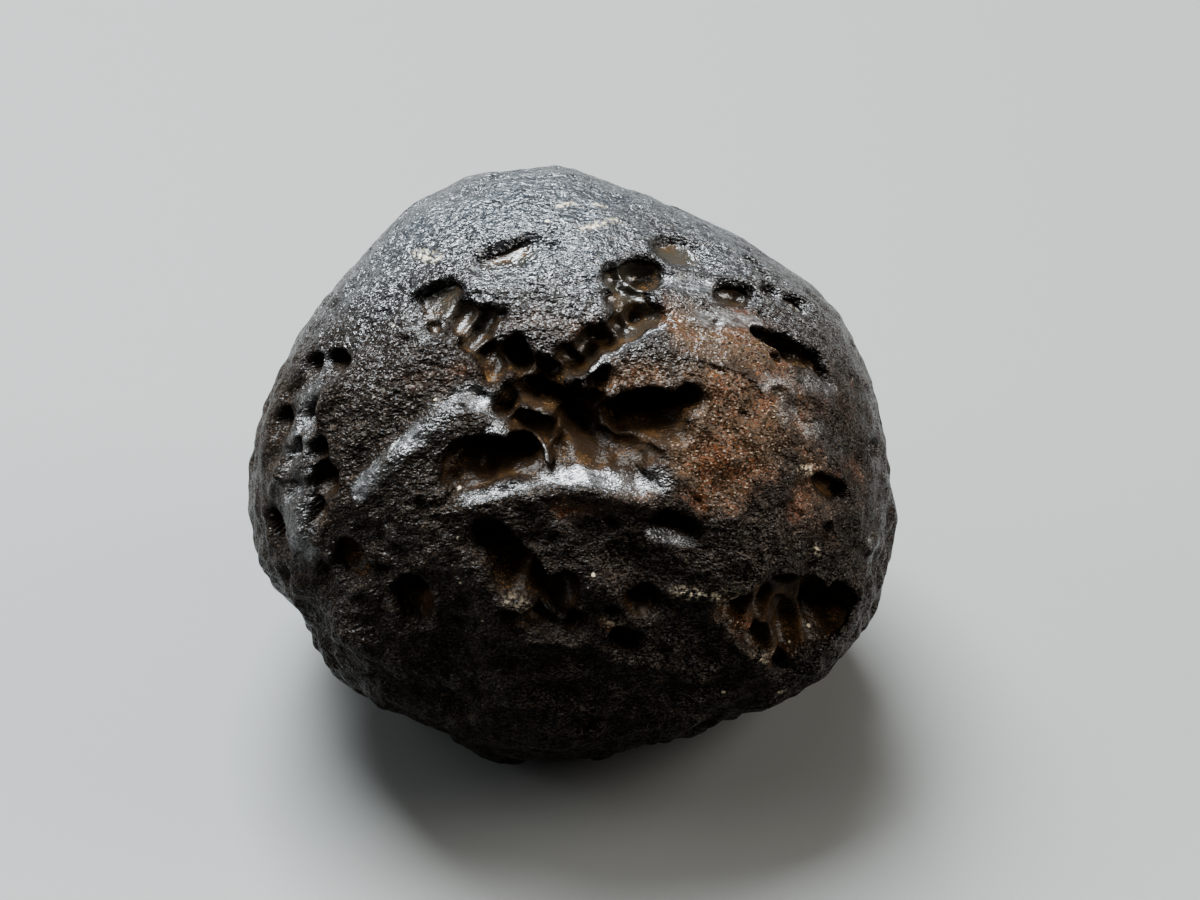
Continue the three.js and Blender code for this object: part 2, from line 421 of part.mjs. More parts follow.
// A point of the pitted surface, moved so that the inside of each pit runs up under its upper rim: the
// deeper it lies, the further it moves up along the skin. The rims stay where they are.
function undercut(point) {
  const direction = point.clone().normalize();
  const depth = foldedRadius(direction) - pittedRadius(direction);
  const uphill = UP.clone().addScaledVector(direction, -UP.dot(direction));
  const moved = point.clone().addScaledVector(uphill, UNDERCUT * depth);
  return moved.setZ(Math.max(moved.z, -REST_HEIGHT));
}

// A point of the stone's surface, from the middle, in the direction of another point.
function onSurface(point) {
  const direction = point.clone().normalize();
  return direction.multiplyScalar(surfaceRadius(direction));
}

// How far the shape is from the straight edge between two points, where it is farthest, and the share of
// the edge at which that is.
const probe = new THREE.Vector3();
function gapOf(a, b) {
  let worst = { gap: 0, share: 0.5 };
  for (let k = 1; k < GAP_SAMPLES; k++) {
    const share = k / GAP_SAMPLES;
    const length = probe.lerpVectors(a, b, share).length();
    const gap = Math.abs(surfaceRadius(probe.normalize()) - length);
    if (gap > worst.gap) worst = { gap, share };
  }
  return worst;
}

// The sharpest corner of a triangle, in degrees.
function sharpestCorner(a, b, c) {
  const corner = (at, one, other) => one.clone().sub(at).angleTo(other.clone().sub(at));
  return THREE.MathUtils.radToDeg(Math.min(corner(a, b, c), corner(b, c, a), corner(c, a, b)));
}

// The closed mesh as it is refined: points from the middle, and triangles that name three points.
class Mesh {
  constructor(geometry) {
    const bare = geometry.clone();
    bare.deleteAttribute("normal");
    bare.deleteAttribute("uv");
    const merged = mergeVertices(bare, 1e-4);
    const corners = Array.from(merged.index.array);
    this.points = Array.from({ length: merged.attributes.position.count }, (_, i) =>
      onSurface(new THREE.Vector3().fromBufferAttribute(merged.attributes.position, i)),
    );
    this.triangles = Array.from({ length: corners.length / 3 }, (_, i) => corners.slice(3 * i, 3 * i + 3));
    this.gaps = new Map();
  }

  // Every edge with its two sides: the side's triangle, its way along the edge and the corner opposite.
  edges() {
    const found = new Map();
    this.triangles.forEach(([a, b, c], triangle) => {
      for (const [from, to, far] of [[a, b, c], [b, c, a], [c, a, b]]) {
        const key = from < to ? `${from} ${to}` : `${to} ${from}`;
        if (!found.has(key)) found.set(key, { key, sides: [] });
        found.get(key).sides.push({ triangle, from, to, far });
      }
    });
    return [...found.values()];
  }

  gap(from, to) {
    const key = from < to ? `${from} ${to}` : `${to} ${from}`;
    const ends = from < to ? [from, to] : [to, from];
    if (!this.gaps.has(key)) this.gaps.set(key, gapOf(this.points[ends[0]], this.points[ends[1]]));
    return this.gaps.get(key);
  }

  // Splits the edges that are farthest from the shape, each at its farthest place, so that new points
  // come to lie on the rims. No triangle is touched twice in one round.
  split() {
    const { points, triangles } = this;
    const touched = new Set();
    const far = this.edges()
      .map(({ sides }) => {
        const [{ from, to }] = sides;
        return { sides, length: points[from].distanceTo(points[to]), ...this.gap(from, to) };
      })
      .filter(({ gap, length }) => gap > CLOSE_ENOUGH && length > SHORTEST_SPLIT)
      .sort((one, other) => other.gap * other.length - one.gap * one.length);
    for (const { sides, share } of far.slice(0, Math.ceil(far.length / 4))) {
      if (triangles.length + 2 > TRIANGLE_LIMIT) return false;
      if (sides.some((side) => touched.has(side.triangle))) continue;
      const [low, high] = [sides[0].from, sides[0].to].sort((one, other) => one - other);
      const kept = THREE.MathUtils.clamp(share, 0.25, 0.75);
      const middle = points.push(onSurface(points[low].clone().lerp(points[high], kept))) - 1;
      for (const side of sides) {
        touched.add(side.triangle);
        triangles[side.triangle] = [side.from, middle, side.far];
        triangles.push([middle, side.to, side.far]);
      }
    }
    return far.length > 0;
  }

  // What an edge between two triangles costs: its gap to the shape and its neighbours' sharpness.
  cost(from, to, corners) {
    const sharpest = Math.min(
      ...corners.map((triangle) => sharpestCorner(...triangle.map((point) => this.points[point]))),
    );
    return this.gap(from, to).gap + SLIVER_COST * Math.max(0, FLAT_ANGLE - sharpest);
  }

  // Turns an edge to join the two corners opposite it wherever that costs less, so that edges come to
  // run along the rims.
  turn() {
    const { points, triangles } = this;
    const touched = new Set();
    for (const { sides } of this.edges()) {
      const [{ from: a, to: b, far: c, triangle: first }, { far: d, triangle: second }] = sides;
      if (touched.has(first) || touched.has(second)) continue;
      const turned = [[a, d, c], [d, b, c]];
      const faces = (corners) => {
        const [one, two, three] = corners.map((point) => points[point]);
        return one.dot(two.clone().cross(three)) > 1e-3 * one.length() * two.length() * three.length();
      };
      if (!turned.every(faces)) continue;
      if (this.cost(c, d, turned) > this.cost(a, b, [[a, b, c], [b, a, d]]) - 1e-3) continue;
      [triangles[first], triangles[second]] = turned;
      touched.add(first).add(second);
    }
    return touched.size > 0;
  }

  turnAll() {
    while (this.turn());
  }
}

function makeTektite() {
  const mesh = new Mesh(new THREE.IcosahedronGeometry(1, BALL_DETAIL));
  while (mesh.split()) mesh.turnAll();
  mesh.turnAll();
  return new THREE.BufferGeometry()
    .setFromPoints(mesh.points.map((point) => undercut(point).add(MIDDLE)))
    .setIndex(mesh.triangles.flat());
}

const darkGlass = new THREE.MeshStandardMaterial({
  color: 0x1c1613,
  roughness: 0.4,
  metalness: 0,
  flatShading: true,
});

const tektite = new THREE.Mesh(makeTektite(), darkGlass);
tektite.name = "tektite";

const part = new THREE.Group();
part.add(tektite);

export default part;
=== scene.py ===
# %% [markdown]
# # A tektite
# A tektite is a lump of natural glass, thrown up molten when a meteorite hit the ground. This one is a
# dark pebble about 28 mm across. Its skin is frosted and finely grained, and acids in the soil have
# etched it: round cups where gas bubbles lay open, worm-like grooves where cups run into each other, and
# soft folds in between. Everything is one surface, so the whole stone is made as one piece.
#
# Each cell makes one thing and prints what it made. Lengths are in millimetres until the mesh goes to
# Blender, which wants metres.

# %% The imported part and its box
import json
import math

import bpy
import numpy as np
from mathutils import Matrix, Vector

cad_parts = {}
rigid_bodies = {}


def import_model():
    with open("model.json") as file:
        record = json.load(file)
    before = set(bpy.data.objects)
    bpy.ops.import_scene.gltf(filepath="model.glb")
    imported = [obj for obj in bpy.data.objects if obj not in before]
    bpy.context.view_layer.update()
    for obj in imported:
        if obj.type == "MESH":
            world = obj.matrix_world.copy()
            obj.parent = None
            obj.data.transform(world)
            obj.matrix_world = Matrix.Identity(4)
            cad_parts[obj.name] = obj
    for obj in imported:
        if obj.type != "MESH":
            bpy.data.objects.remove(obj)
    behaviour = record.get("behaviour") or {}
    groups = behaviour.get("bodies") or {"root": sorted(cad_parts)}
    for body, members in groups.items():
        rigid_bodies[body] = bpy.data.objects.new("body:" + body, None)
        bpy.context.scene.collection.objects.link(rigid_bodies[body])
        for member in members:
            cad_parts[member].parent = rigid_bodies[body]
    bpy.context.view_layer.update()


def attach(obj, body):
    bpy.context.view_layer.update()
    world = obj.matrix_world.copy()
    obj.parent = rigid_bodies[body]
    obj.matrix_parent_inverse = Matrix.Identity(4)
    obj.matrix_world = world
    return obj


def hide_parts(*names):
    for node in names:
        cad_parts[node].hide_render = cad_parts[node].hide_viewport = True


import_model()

# %% [markdown]
# ## The measures of the stone
# A pebble could be sculpted by hand, but then nobody could say how it was made. Here it is a formula: for
# each direction out from the middle of the stone, one distance. The plain body is a ball that is
# squeezed to an outline as seen square on to its most pitted face. That face looks forwards and up, so
# the stone has its own three directions: across, up, and out towards an eye point in front of the face.

# %% Measures and directions
FACE_RISE = 38.0  # degrees above the horizon that the pitted face looks
SIGHT_DISTANCE = 140.0  # from the eye point that sights the face to the stone's middle
FRONT_DEPTH, BACK_DEPTH = 12.3, 12.6  # from the middle to the face and to the back
SQUARENESS = 2.25  # 2 is an ellipsoid, more is boxier
REST_HEIGHT = 11.7  # of the middle above the flat resting spot
HALVINGS = 40  # steps in the search for the point where a line of sight meets the body
MIDDLE = np.array([0.0, 0.0, REST_HEIGHT])

# From the middle to the outline every 15 degrees, starting at across and turning towards up.
OUTLINE = np.array([
    13.9, 13.6, 13.2, 12.5, 12.0, 12.1, 12.7, 12.9, 13.1, 12.85, 12.95, 13.35,
    13.9, 14.1, 13.7, 13.6, 12.9, 13.2, 12.9, 12.8, 13.1, 14.1, 14.6, 14.4])

rise = math.radians(FACE_RISE)
ACROSS = np.array([1.0, 0.0, 0.0])
UP = np.array([0.0, math.sin(rise), math.cos(rise)])
OUT = np.array([0.0, -math.cos(rise), math.sin(rise)])
VERTICAL = np.array([0.0, 0.0, 1.0])
print("the face looks along", OUT.round(3))

# %% The plain body
def outline_at(angle):
    """The outline's distance at an angle: a smooth closed curve through the 24 measured points. Between
    two points it is the cubic that leaves each one along the line joining its two neighbours."""
    place = (angle / (2 * math.pi) * len(OUTLINE)) % len(OUTLINE)
    first = np.floor(place).astype(int)
    t = place - first
    a, b, c, d = (OUTLINE[(first + k) % len(OUTLINE)] for k in (-1, 0, 1, 2))
    return b + 0.5 * t * (c - a + t * (2 * a - 5 * b + 4 * c - d + t * (3 * (b - c) + d - a)))


def body_radius(directions):
    """Distance from the middle to the plain body. Sideways and depth shares of each direction are
    measured against the outline and the depth, and joined as in an ellipsoid, with a power near 2."""
    across, up, out = (directions @ axis for axis in (ACROSS, UP, OUT))
    side = np.hypot(across, up) / outline_at(np.arctan2(up, across))
    depth = np.abs(out) / np.where(out > 0, FRONT_DEPTH, BACK_DEPTH)
    return (side ** SQUARENESS + depth ** SQUARENESS) ** (-1 / SQUARENESS)


def unit(arrows):
    """Arrows of any length, each divided by its length."""
    return arrows / np.linalg.norm(arrows, axis=-1, keepdims=True)


def sighted(across, up):
    """Points of the plain body on the lines from the eye point through places on the face. The share of
    the way from the eye is halved again and again between one point outside and one inside."""
    across, up = np.atleast_1d(across).astype(float), np.atleast_1d(up).astype(float)
    outside = np.full(across.shape, 1 - 1.3 * FRONT_DEPTH / SIGHT_DISTANCE)
    inside = np.ones(across.shape)

    def at(share):
        """The points that lie at a share of the way from the eye to the plane through the middle."""
        return (across * share)[:, None] * ACROSS + (up * share)[:, None] * UP \
            + (SIGHT_DISTANCE * (1 - share))[:, None] * OUT

    for _ in range(HALVINGS):
        half = (outside + inside) / 2
        points = at(half)
        out_of_it = np.linalg.norm(points, axis=1) > body_radius(unit(points))
        outside = np.where(out_of_it, half, outside)
        inside = np.where(out_of_it, inside, half)
    return at(inside)


def pointed(azimuth, height):
    """Points of the plain body at azimuths (0 along +X, 90 along +Y) and height angles, in degrees."""
    turn, lift = np.radians(np.atleast_1d(azimuth)), np.radians(np.atleast_1d(height))
    directions = np.stack([np.cos(lift) * np.cos(turn), np.cos(lift) * np.sin(turn), np.sin(lift)], axis=1)
    return directions * body_radius(directions)[:, None]


def placed(face_rows, side_rows):
    """The points of the plain body that the rows of two tables name, and the upward direction for each."""
    points = np.vstack([sighted(*face_rows[:, :2].T), pointed(*side_rows[:, :2].T)])
    upward = np.vstack([np.tile(UP, (len(face_rows), 1)), np.tile(VERTICAL, (len(side_rows), 1))])
    return points, upward


def axes_at(outwards, upward, turn):
    """For each outward direction, the turned sideways and upward directions across it, and itself, as
    the three columns of a matrix."""
    sideways = unit(np.cross(upward, outwards))
    along = np.cross(outwards, sideways)
    angle = np.radians(turn)[:, None]
    turned = sideways * np.cos(angle) + along * np.sin(angle)
    return np.stack([turned, np.cross(outwards, turned), outwards], axis=2)


print("plain body: outline", OUTLINE.min(), "to", OUTLINE.max(), "mm from the middle")

# %% [markdown]
# ## Soft folds
# Glass that was still soft when it flew has broad swellings and hollows. Each one is a bell-shaped bump
# on the body, longer one way than the other, that adds to the distance or takes from it. Bells add up
# smoothly, so folds may cross without a seam.

# %% Folds
# On the face: across, up, long, wide, turn, stands out.
FACE_FOLDS = np.array([
    (-0.2, -1.4, 2.6, 0.5, 8, 0.3),  # lips under the central cavity
    (2.4, -1.7, 2.6, 0.5, -12, 0.35),
    (-7.6, 1.5, 2.8, 0.7, 42, -0.35),  # furrow from the left flank
    (-7.9, 0.2, 3.2, 0.7, 42, 0.35),  # bank below the furrow
    (-2.0, 0.75, 1.5, 0.35, -25, 0.5),  # rim of the eye-shaped pit
    (5.3, 8.2, 1.7, 0.8, 4, -0.35),  # saddle by the right groove
    (7.4, 6.6, 2.4, 1.1, -10, -0.2),  # smooth patch on the shoulder
    # The cluster of soft hollows on the left flank, and the swellings between them.
    (-11.3, 4.3, 0.7, 0.6, 0, -0.3),
    (-10.3, 4.5, 0.7, 0.6, 0, -0.3),
    (-12.2, 3.4, 0.7, 0.4, 60, -0.4),
    (-11.6, 2.2, 0.75, 0.6, 45, -0.4),
    (-12.7, 1.8, 0.9, 0.6, 50, -0.35),
    (-11.4, 0.6, 0.6, 0.55, 0, -0.3),
    (-12.2, 0.5, 0.6, 0.35, 60, -0.45),
    (-13.1, 0.5, 0.6, 0.35, 20, -0.4),
    (-11.2, -0.9, 0.8, 0.6, 0, -0.4),
    (-12.2, -1.1, 0.5, 0.4, 20, -0.45),
    (-11.3, -2.1, 0.6, 0.5, 0, -0.3),
    (-13.1, -2.9, 0.9, 0.6, 60, -0.55),
    (-12.6, -4.9, 0.8, 0.5, 40, -0.4),
    (-11.2, -4.7, 0.8, 0.5, 70, -0.4),
    (-11.9, -3.2, 0.8, 0.4, 15, 0.35),
    (-10.7, 2.6, 1.8, 0.5, 48, 0.35),
    (-12.6, -0.3, 0.9, 0.35, 20, 0.3),
    # The ragged ledge over the lower right scoop.
    (5.6, -6.0, 1.5, 0.35, -6, 0.4),
    (8.6, -5.6, 2.4, 0.4, 5, 0.5),
    # Lips that stand out under the pits of the shaded lower part.
    (-6.9, -7.5, 0.9, 0.35, 0, 0.35),
    (-5.9, -6.5, 0.9, 0.3, 75, 0.25),
    (-3.1, -5.8, 2.2, 0.4, -47, 0.4),
    (-1.4, -7.8, 0.8, 0.3, 0, 0.35),
    (0.0, -7.9, 0.6, 0.3, 0, 0.3),
    (2.3, -8.7, 0.7, 0.3, -20, 0.35),
    (3.3, -6.9, 0.8, 0.3, 0, 0.35),
    (-9.4, -5.6, 1.0, 0.35, -20, 0.3),
    (-0.5, -9.4, 2.2, 0.35, 5, 0.3),
    # Soft hollows between them.
    (0.5, -3.6, 4.6, 0.9, 4, -0.3),
    (3.0, -4.6, 1.7, 0.8, -10, -0.4),
    (5.9, -8.0, 2.4, 1.2, -25, -0.5),
    (-4.9, -8.4, 2.2, 1.0, -35, -0.4),
    (-8.4, -5.6, 0.8, 1.2, 0, -0.3),
    (-6.2, -10.4, 2.4, 0.8, -25, -0.35),
    (4.6, -10.4, 3.0, 0.9, 14, -0.35),
    (-9.6, -7.4, 1.6, 0.8, -40, 0.3),
])
# Round the hidden sides: azimuth, height angle, long, wide, turn, stands out.
SIDE_FOLDS = np.array([
    (18, 12, 6.0, 2.4, 35, -0.7),
    (48, 30, 5.0, 1.6, 20, 0.5),
    (78, 22, 5.5, 2.6, -35, -0.9),
    (108, -12, 6.5, 2.2, 12, 0.6),
    (112, 40, 4.0, 1.5, 70, 0.45),
    (124, 10, 4.5, 2.4, 55, -0.8),
    (160, -25, 5.0, 2.0, -20, 0.4),
    (190, -22, 5.0, 1.6, 15, -0.4),
    (62, -30, 5.0, 2.2, -10, -0.6),
    (20, -32, 4.0, 1.4, 25, 0.35),
])

fold_points, fold_upward = placed(FACE_FOLDS, SIDE_FOLDS)
fold_long, fold_wide, fold_turn, fold_stands = np.vstack([FACE_FOLDS, SIDE_FOLDS])[:, 2:].T
fold_axes = axes_at(unit(fold_points), fold_upward, fold_turn)


def folded_radius(directions):
    """The plain body's distance plus one bell for each fold: its height times e to the minus square of
    the distance from its middle, measured in its own lengths and widths."""
    radius = body_radius(directions)
    points = directions * radius[:, None]
    folded = radius.copy()
    for centre, axes, long, wide, stands in zip(fold_points, fold_axes, fold_long, fold_wide, fold_stands):
        same_side = directions @ axes[:, 2] > 0
        along, over = (points - centre) @ axes[:, 0] / long, (points - centre) @ axes[:, 1] / wide
        folded += np.where(same_side, stands * np.exp(-along ** 2 - over ** 2), 0)
    return folded


print(len(fold_points), "folds")

# %% [markdown]
# ## Pits
# A pit is the lower part of an ellipsoid pressed into the skin. Its centre is lifted a little off the
# surface, so that its walls slope and meet the skin at a clear rim. Wide shallow scoops lean back: they
# are deep and dark under the upper rim and run out below as a ramp that catches the light. Where pits
# overlap, the ridge between them is sharp, as on the real stone. Cutting a mesh with balls would do it
# too, but it leaves slivers. Here each direction out from the middle is followed inwards: where it is
# inside an ellipsoid, it goes on to that ellipsoid's floor.

# %% The table of pits
PIT_LIFT = 0.4  # of the ellipsoid's centre above the surface, as a share of its half depth
UNDERCUT = 0.45  # millimetres that a pit's inside is drawn upwards for each millimetre of depth

# On the face: across, up, mouth width, mouth height, depth, turn, lean (below 0 leans back).
FACE_PITS = np.array([
    # The left groove: its broad upper scoop, then cups down to the drop-shaped end.
    (-5.9, 6.4, 3.2, 3.6, 0.3, 18, -14),
    (-4.9, 6.3, 1.6, 1.6, 0.8, 0, 0),
    (-3.9, 6.1, 1.3, 1.6, 0.9, 0, 0),
    (-4.2, 5.5, 1.6, 1.5, 1.0, -25, 0),
    (-3.5, 4.3, 1.4, 2.1, 1.1, 8, 0),
    (-3.1, 6.4, 0.7, 0.8, 0.5, 0, 0),
    # Deep cups along the top of the central cavity, and on up the right groove.
    (-2.3, 4.6, 1.3, 1.9, 1.5, 0, 0),
    (-1.7, 3.1, 2.0, 1.3, 1.5, 0, 0),
    (-1.1, 3.9, 1.7, 1.7, 1.3, 0, 0),
    (0.1, 4.6, 1.6, 1.5, 1.3, 20, 0),
    (1.0, 5.0, 1.6, 1.5, 1.2, 25, 0),
    (1.8, 5.3, 1.6, 1.6, 1.1, 40, 0),
    (2.5, 5.9, 1.7, 1.7, 1.1, 40, 0),
    (3.2, 6.6, 2.1, 2.0, 1.2, 20, 0),
    (3.1, 7.5, 1.9, 1.2, 0.8, 0, 0),
    (3.4, 8.5, 2.2, 1.9, 1.2, 0, 0),
    (2.0, 7.0, 1.3, 1.2, 0.45, 0, 0),
    (2.2, 8.1, 1.5, 1.3, 0.8, 0, 0),
    (1.2, 3.6, 1.3, 1.0, 0.7, -10, 0),
    (1.1, 2.9, 0.7, 0.6, 0.4, 0, 0),
    (0.1, 3.3, 0.5, 1.1, 0.6, -30, 0),
    # The central cavity: its polished lower slope first, then the deep cups under its upper rim.
    (-0.5, -0.75, 3.6, 3.4, 0.25, 10, -53),
    (1.9, -1.0, 3.8, 3.4, 0.2, -14, -50),
    (1.2, 0.5, 5.2, 2.1, 1.4, -5, 0),
    (3.1, 1.9, 4.4, 2.3, 2.0, 2, 0),
    (0.5, 1.5, 2.1, 2.6, 2.2, 0, 0),
    (-0.4, 2.7, 3.6, 1.3, 2.2, -5, 0),
    (0.9, 2.5, 1.5, 1.5, 1.8, 0, 0),
    (5.1, 2.5, 1.5, 1.4, 1.2, 0, 0),
    (4.7, 1.4, 1.4, 1.1, 0.8, 40, 0),
    (-0.1, 0.7, 0.9, 0.9, 0.8, 0, 0),
    # Scoops of the cluster on the left flank.
    (-11.5, 4.1, 1.6, 1.5, 0.35, 10, -22),
    (-10.3, 4.3, 1.6, 1.5, 0.35, 0, -22),
    (-11.6, 1.9, 1.5, 1.6, 0.35, 25, -22),
    (-12.8, 1.5, 1.5, 1.4, 0.3, 30, -20),
    (-11.2, 0.2, 1.3, 1.5, 0.35, 0, -22),
    (-12.3, 0.1, 1.1, 1.3, 0.3, 10, -20),
    (-11.1, -1.2, 1.8, 1.5, 0.35, 0, -22),
    (-11.4, -2.5, 1.3, 1.3, 0.35, -10, -22),
    (-13.1, -2.9, 1.4, 1.3, 0.3, 20, -20),
    # Small cups and the eye-shaped pit left of the cavity.
    (-4.0, 3.0, 1.1, 0.9, 0.4, 0, 0),
    (-2.8, 2.6, 1.5, 1.4, 0.9, -15, 0),
    (-1.7, 1.4, 2.6, 1.4, 1.1, -25, 0),
    # The wide pit low on the left of the cavity.
    (-3.9, -1.3, 3.8, 3.0, 0.2, 8, -52),
    (-3.6, -0.1, 4.7, 2.2, 1.4, 8, 0),
    (-3.4, 0.2, 4.1, 1.8, 1.9, 6, 0),
    # Shallow crescents on the brow, open below.
    (-2.4, 8.6, 3.8, 3.2, 0.3, 12, -14),
    (5.1, 8.8, 3.2, 3.2, 0.3, -8, -15),
    # The right shoulder.
    (7.4, 7.4, 2.4, 1.4, 0.8, -5, 0),
    (9.0, 7.4, 1.5, 1.0, 0.5, -20, 0),
    (8.2, 8.7, 1.2, 0.8, 0.35, -30, 0),
    (8.6, 8.2, 1.2, 0.6, 0.3, -30, 0),
    (10.1, 6.9, 1.4, 1.2, 0.6, 0, 0),
    (6.4, 6.3, 0.6, 0.4, 0.3, 0, 0),
    (9.0, 2.9, 0.6, 0.5, 0.3, 0, 0),
    (7.5, 2.0, 0.5, 0.4, 0.3, 0, 0),
    # The ragged pit on the right shoulder.
    (8.7, 5.7, 1.6, 0.9, 0.9, -20, 0),
    (9.4, 5.4, 1.5, 1.1, 1.1, -40, 0),
    (10.0, 4.8, 1.8, 1.3, 1.2, -40, 0),
    (10.8, 4.4, 1.5, 1.1, 1.0, -20, 0),
    (11.2, 3.8, 1.9, 0.9, 0.7, -40, 0),
    (9.3, 4.6, 1.0, 0.7, 0.6, 0, 0),
    # The right flank.
    (11.3, -1.2, 2.2, 1.2, 0.7, -10, 0),
    (13.3, 0.6, 1.4, 0.9, 0.5, 0, 0),
    # Pits on the shaded lower part of the face.
    (-9.8, -4.4, 2.1, 1.9, 1.1, -50, 0),
    (-6.9, -6.2, 1.9, 2.6, 1.3, 0, 0),
    (-3.7, -3.4, 1.7, 1.7, 1.1, 0, 0),
    (-3.0, -4.2, 1.7, 1.5, 1.2, -40, 0),
    (-2.3, -5.0, 2.4, 2.2, 1.5, -40, 0),
    (-1.4, -5.7, 2.0, 1.5, 1.4, -30, 0),
    (-0.4, -5.8, 1.7, 2.1, 1.5, 0, 0),
    (-1.4, -7.1, 1.7, 1.1, 1.0, 0, 0),
    (0.0, -7.2, 1.2, 1.1, 0.8, 0, 0),
    (-2.7, -6.8, 0.7, 0.7, 0.4, 0, 0),
    (1.8, -6.8, 0.8, 0.7, 0.5, 0, 0),
    (2.2, -7.9, 1.4, 1.4, 1.0, 10, 0),
    (3.2, -6.1, 1.6, 1.4, 1.0, 0, 0),
    (4.6, -3.0, 2.3, 1.1, 0.5, -10, 0),
    (1.8, -2.7, 0.7, 0.5, 0.25, 0, 0),
    # The scoop low on the right, black under its ledge, with a broken floor.
    (9.2, -7.1, 5.4, 4.2, 0.9, -12, -20),
    (11.3, -6.9, 2.2, 3.2, 1.9, 10, 0),
    (9.9, -5.8, 3.2, 1.3, 1.6, 0, 0),
    (7.3, -6.6, 1.7, 1.6, 1.0, 0, 0),
    (8.3, -8.2, 1.7, 1.4, 1.2, -40, 0),
    (9.2, -8.9, 1.5, 1.2, 0.7, -40, 0),
    (8.6, -7.0, 1.5, 1.3, 1.4, 0, 0),
    (9.9, -7.6, 1.3, 2.4, 1.5, 12, 0),
    # Shallow marks near the foot.
    (-0.2, -10.0, 2.6, 1.2, 0.4, 0, 0),
    (-2.7, -9.1, 1.8, 1.2, 0.35, -20, 0),
    (-4.9, -10.9, 1.6, 0.9, 0.3, -30, 0),
    (0.6, -11.6, 1.6, 1.4, 0.4, 0, 0),
])

# Round the hidden sides: azimuth, height angle, mouth width, mouth height, depth, turn.
SIDE_PITS = np.array([
    (84, 12, 3.6, 2.5, 1.4, 15),
    (136, 0, 3.0, 2.4, 1.3, -20),
    (114, 38, 3.2, 2.2, 1.1, 25),
    (28, 19, 2.8, 2.0, 1.1, -30),
    (34, 2, 2.6, 1.8, 0.9, -25),
    (44, -8, 1.6, 1.3, 0.7, 0),
    (20, 8, 1.8, 1.2, 0.6, 20),
    (352, -26, 2.2, 1.5, 0.8, 0),
    (84, 43, 2.4, 1.6, 0.5, 40),
    (140, 24, 1.8, 1.2, 0.4, -20),
    (150, -22, 2.8, 1.9, 1.0, -15),
    (170, -34, 1.6, 1.4, 0.6, 0),
    (186, 6, 2.2, 1.5, 0.7, 35),
    (76, -36, 2.6, 1.8, 0.9, 10),
    (50, -40, 1.7, 1.3, 0.6, 0),
    (112, -6, 1.5, 1.5, 0.8, 0),
    (104, 24, 1.5, 1.2, 0.6, 0),
    (218, -34, 2.0, 1.4, 0.6, -10),
])

# Grooves of cups round the hidden sides: from azimuth, height angle; to azimuth, height angle; sway,
# cups, width, depth.
SIDE_GROOVES = np.array([
    (43, 29, 60, 20, 5, 4, 2.1, 1.2),
    (60, 20, 72, -16, -7, 7, 1.8, 1.1),
    (64, 14, 92, 4, 4, 5, 1.6, 0.9),
    (106, 42, 124, 14, 8, 7, 2.1, 1.2),
    (126, 12, 166, -2, -7, 7, 1.7, 1.0),
    (168, -6, 178, -34, 6, 5, 1.9, 1.0),
    (10, -12, 38, -30, 6, 5, 1.7, 1.0),
    (94, -16, 130, -36, 7, 6, 1.9, 1.1),
])


def groove_cups(az0, h0, az1, h1, sway, cups, wide, deep):
    """A groove's cups, evenly spread from one place to another along a line that is bowed sideways by a
    half wave, and wider and narrower by turns. Rows: azimuth, height angle, width, height, depth, turn."""
    i = np.arange(int(cups))
    t = i / (cups - 1)
    bow = sway * np.sin(math.pi * t)
    swell = 1 + 0.25 * np.cos(2.4 * i)
    return np.stack([az0 + (az1 - az0) * t + bow, h0 + (h1 - h0) * t + bow / 2,
                     wide * swell, wide * swell, deep * swell, 0 * t], axis=1)


side_rows = np.vstack([SIDE_PITS] + [groove_cups(*row) for row in SIDE_GROOVES])
print(len(FACE_PITS), "pits on the face and", len(side_rows), "round the sides")

# %% The pits as ellipsoids
def pit_balls(points, outwards, upward, wide, tall, deep, turn, lean):
    """For each pit, its heading, how far from that it reaches, and the ellipsoid: its middle and the
    matrix that takes it to a unit ball. The halves are chosen so that, with the centre lifted, the mouth
    and depth come out as asked. It is leaned about its sideways direction, and then set on the surface."""
    swell = 1 / math.sqrt(1 - PIT_LIFT ** 2)
    halves = np.stack([wide / 2 * swell, tall / 2 * swell, deep / (1 - PIT_LIFT)], axis=1)
    centres = points + PIT_LIFT * halves[:, 2:] * outwards
    cos, sin, no, one = np.cos(lean), np.sin(lean), np.zeros(len(lean)), np.ones(len(lean))
    leaning = np.stack([one, no, no, no, cos, -sin, no, sin, cos], axis=1).reshape(-1, 3, 3)
    frames = axes_at(outwards, upward, turn) @ leaning
    to_ball = (frames / halves[:, None, :]).transpose(0, 2, 1)
    reach = np.cos(1.2 * halves.max(axis=1) / np.linalg.norm(centres, axis=1))
    return list(zip(unit(centres), reach, centres, to_ball))


body_points, pit_upward = placed(FACE_PITS, side_rows)
headings = unit(body_points)
wide, tall, deep, turn = np.vstack([FACE_PITS[:, 2:6], side_rows[:, 2:6]]).T
lean = np.radians(np.concatenate([FACE_PITS[:, 6], np.zeros(len(side_rows))]))
pit_points = headings * folded_radius(headings)[:, None]
pits = pit_balls(pit_points, headings, pit_upward, wide, tall, deep, turn, lean)
print(len(pits), "ellipsoids, mouths", wide.min(), "to", wide.max(), "mm")

# %% [markdown]
# ## The skin's roughness
# Under the eye the skin isn't smooth: it undulates by a tenth of a millimetre or two, at scales from two
# and a half millimetres down to a third of one. That much is real shape, so it goes into the mesh. Finer
# grain is left to the material. Smooth random hills are made by giving every corner of a lattice of cubes
# a seeded random height and blending between the eight corners round each point.

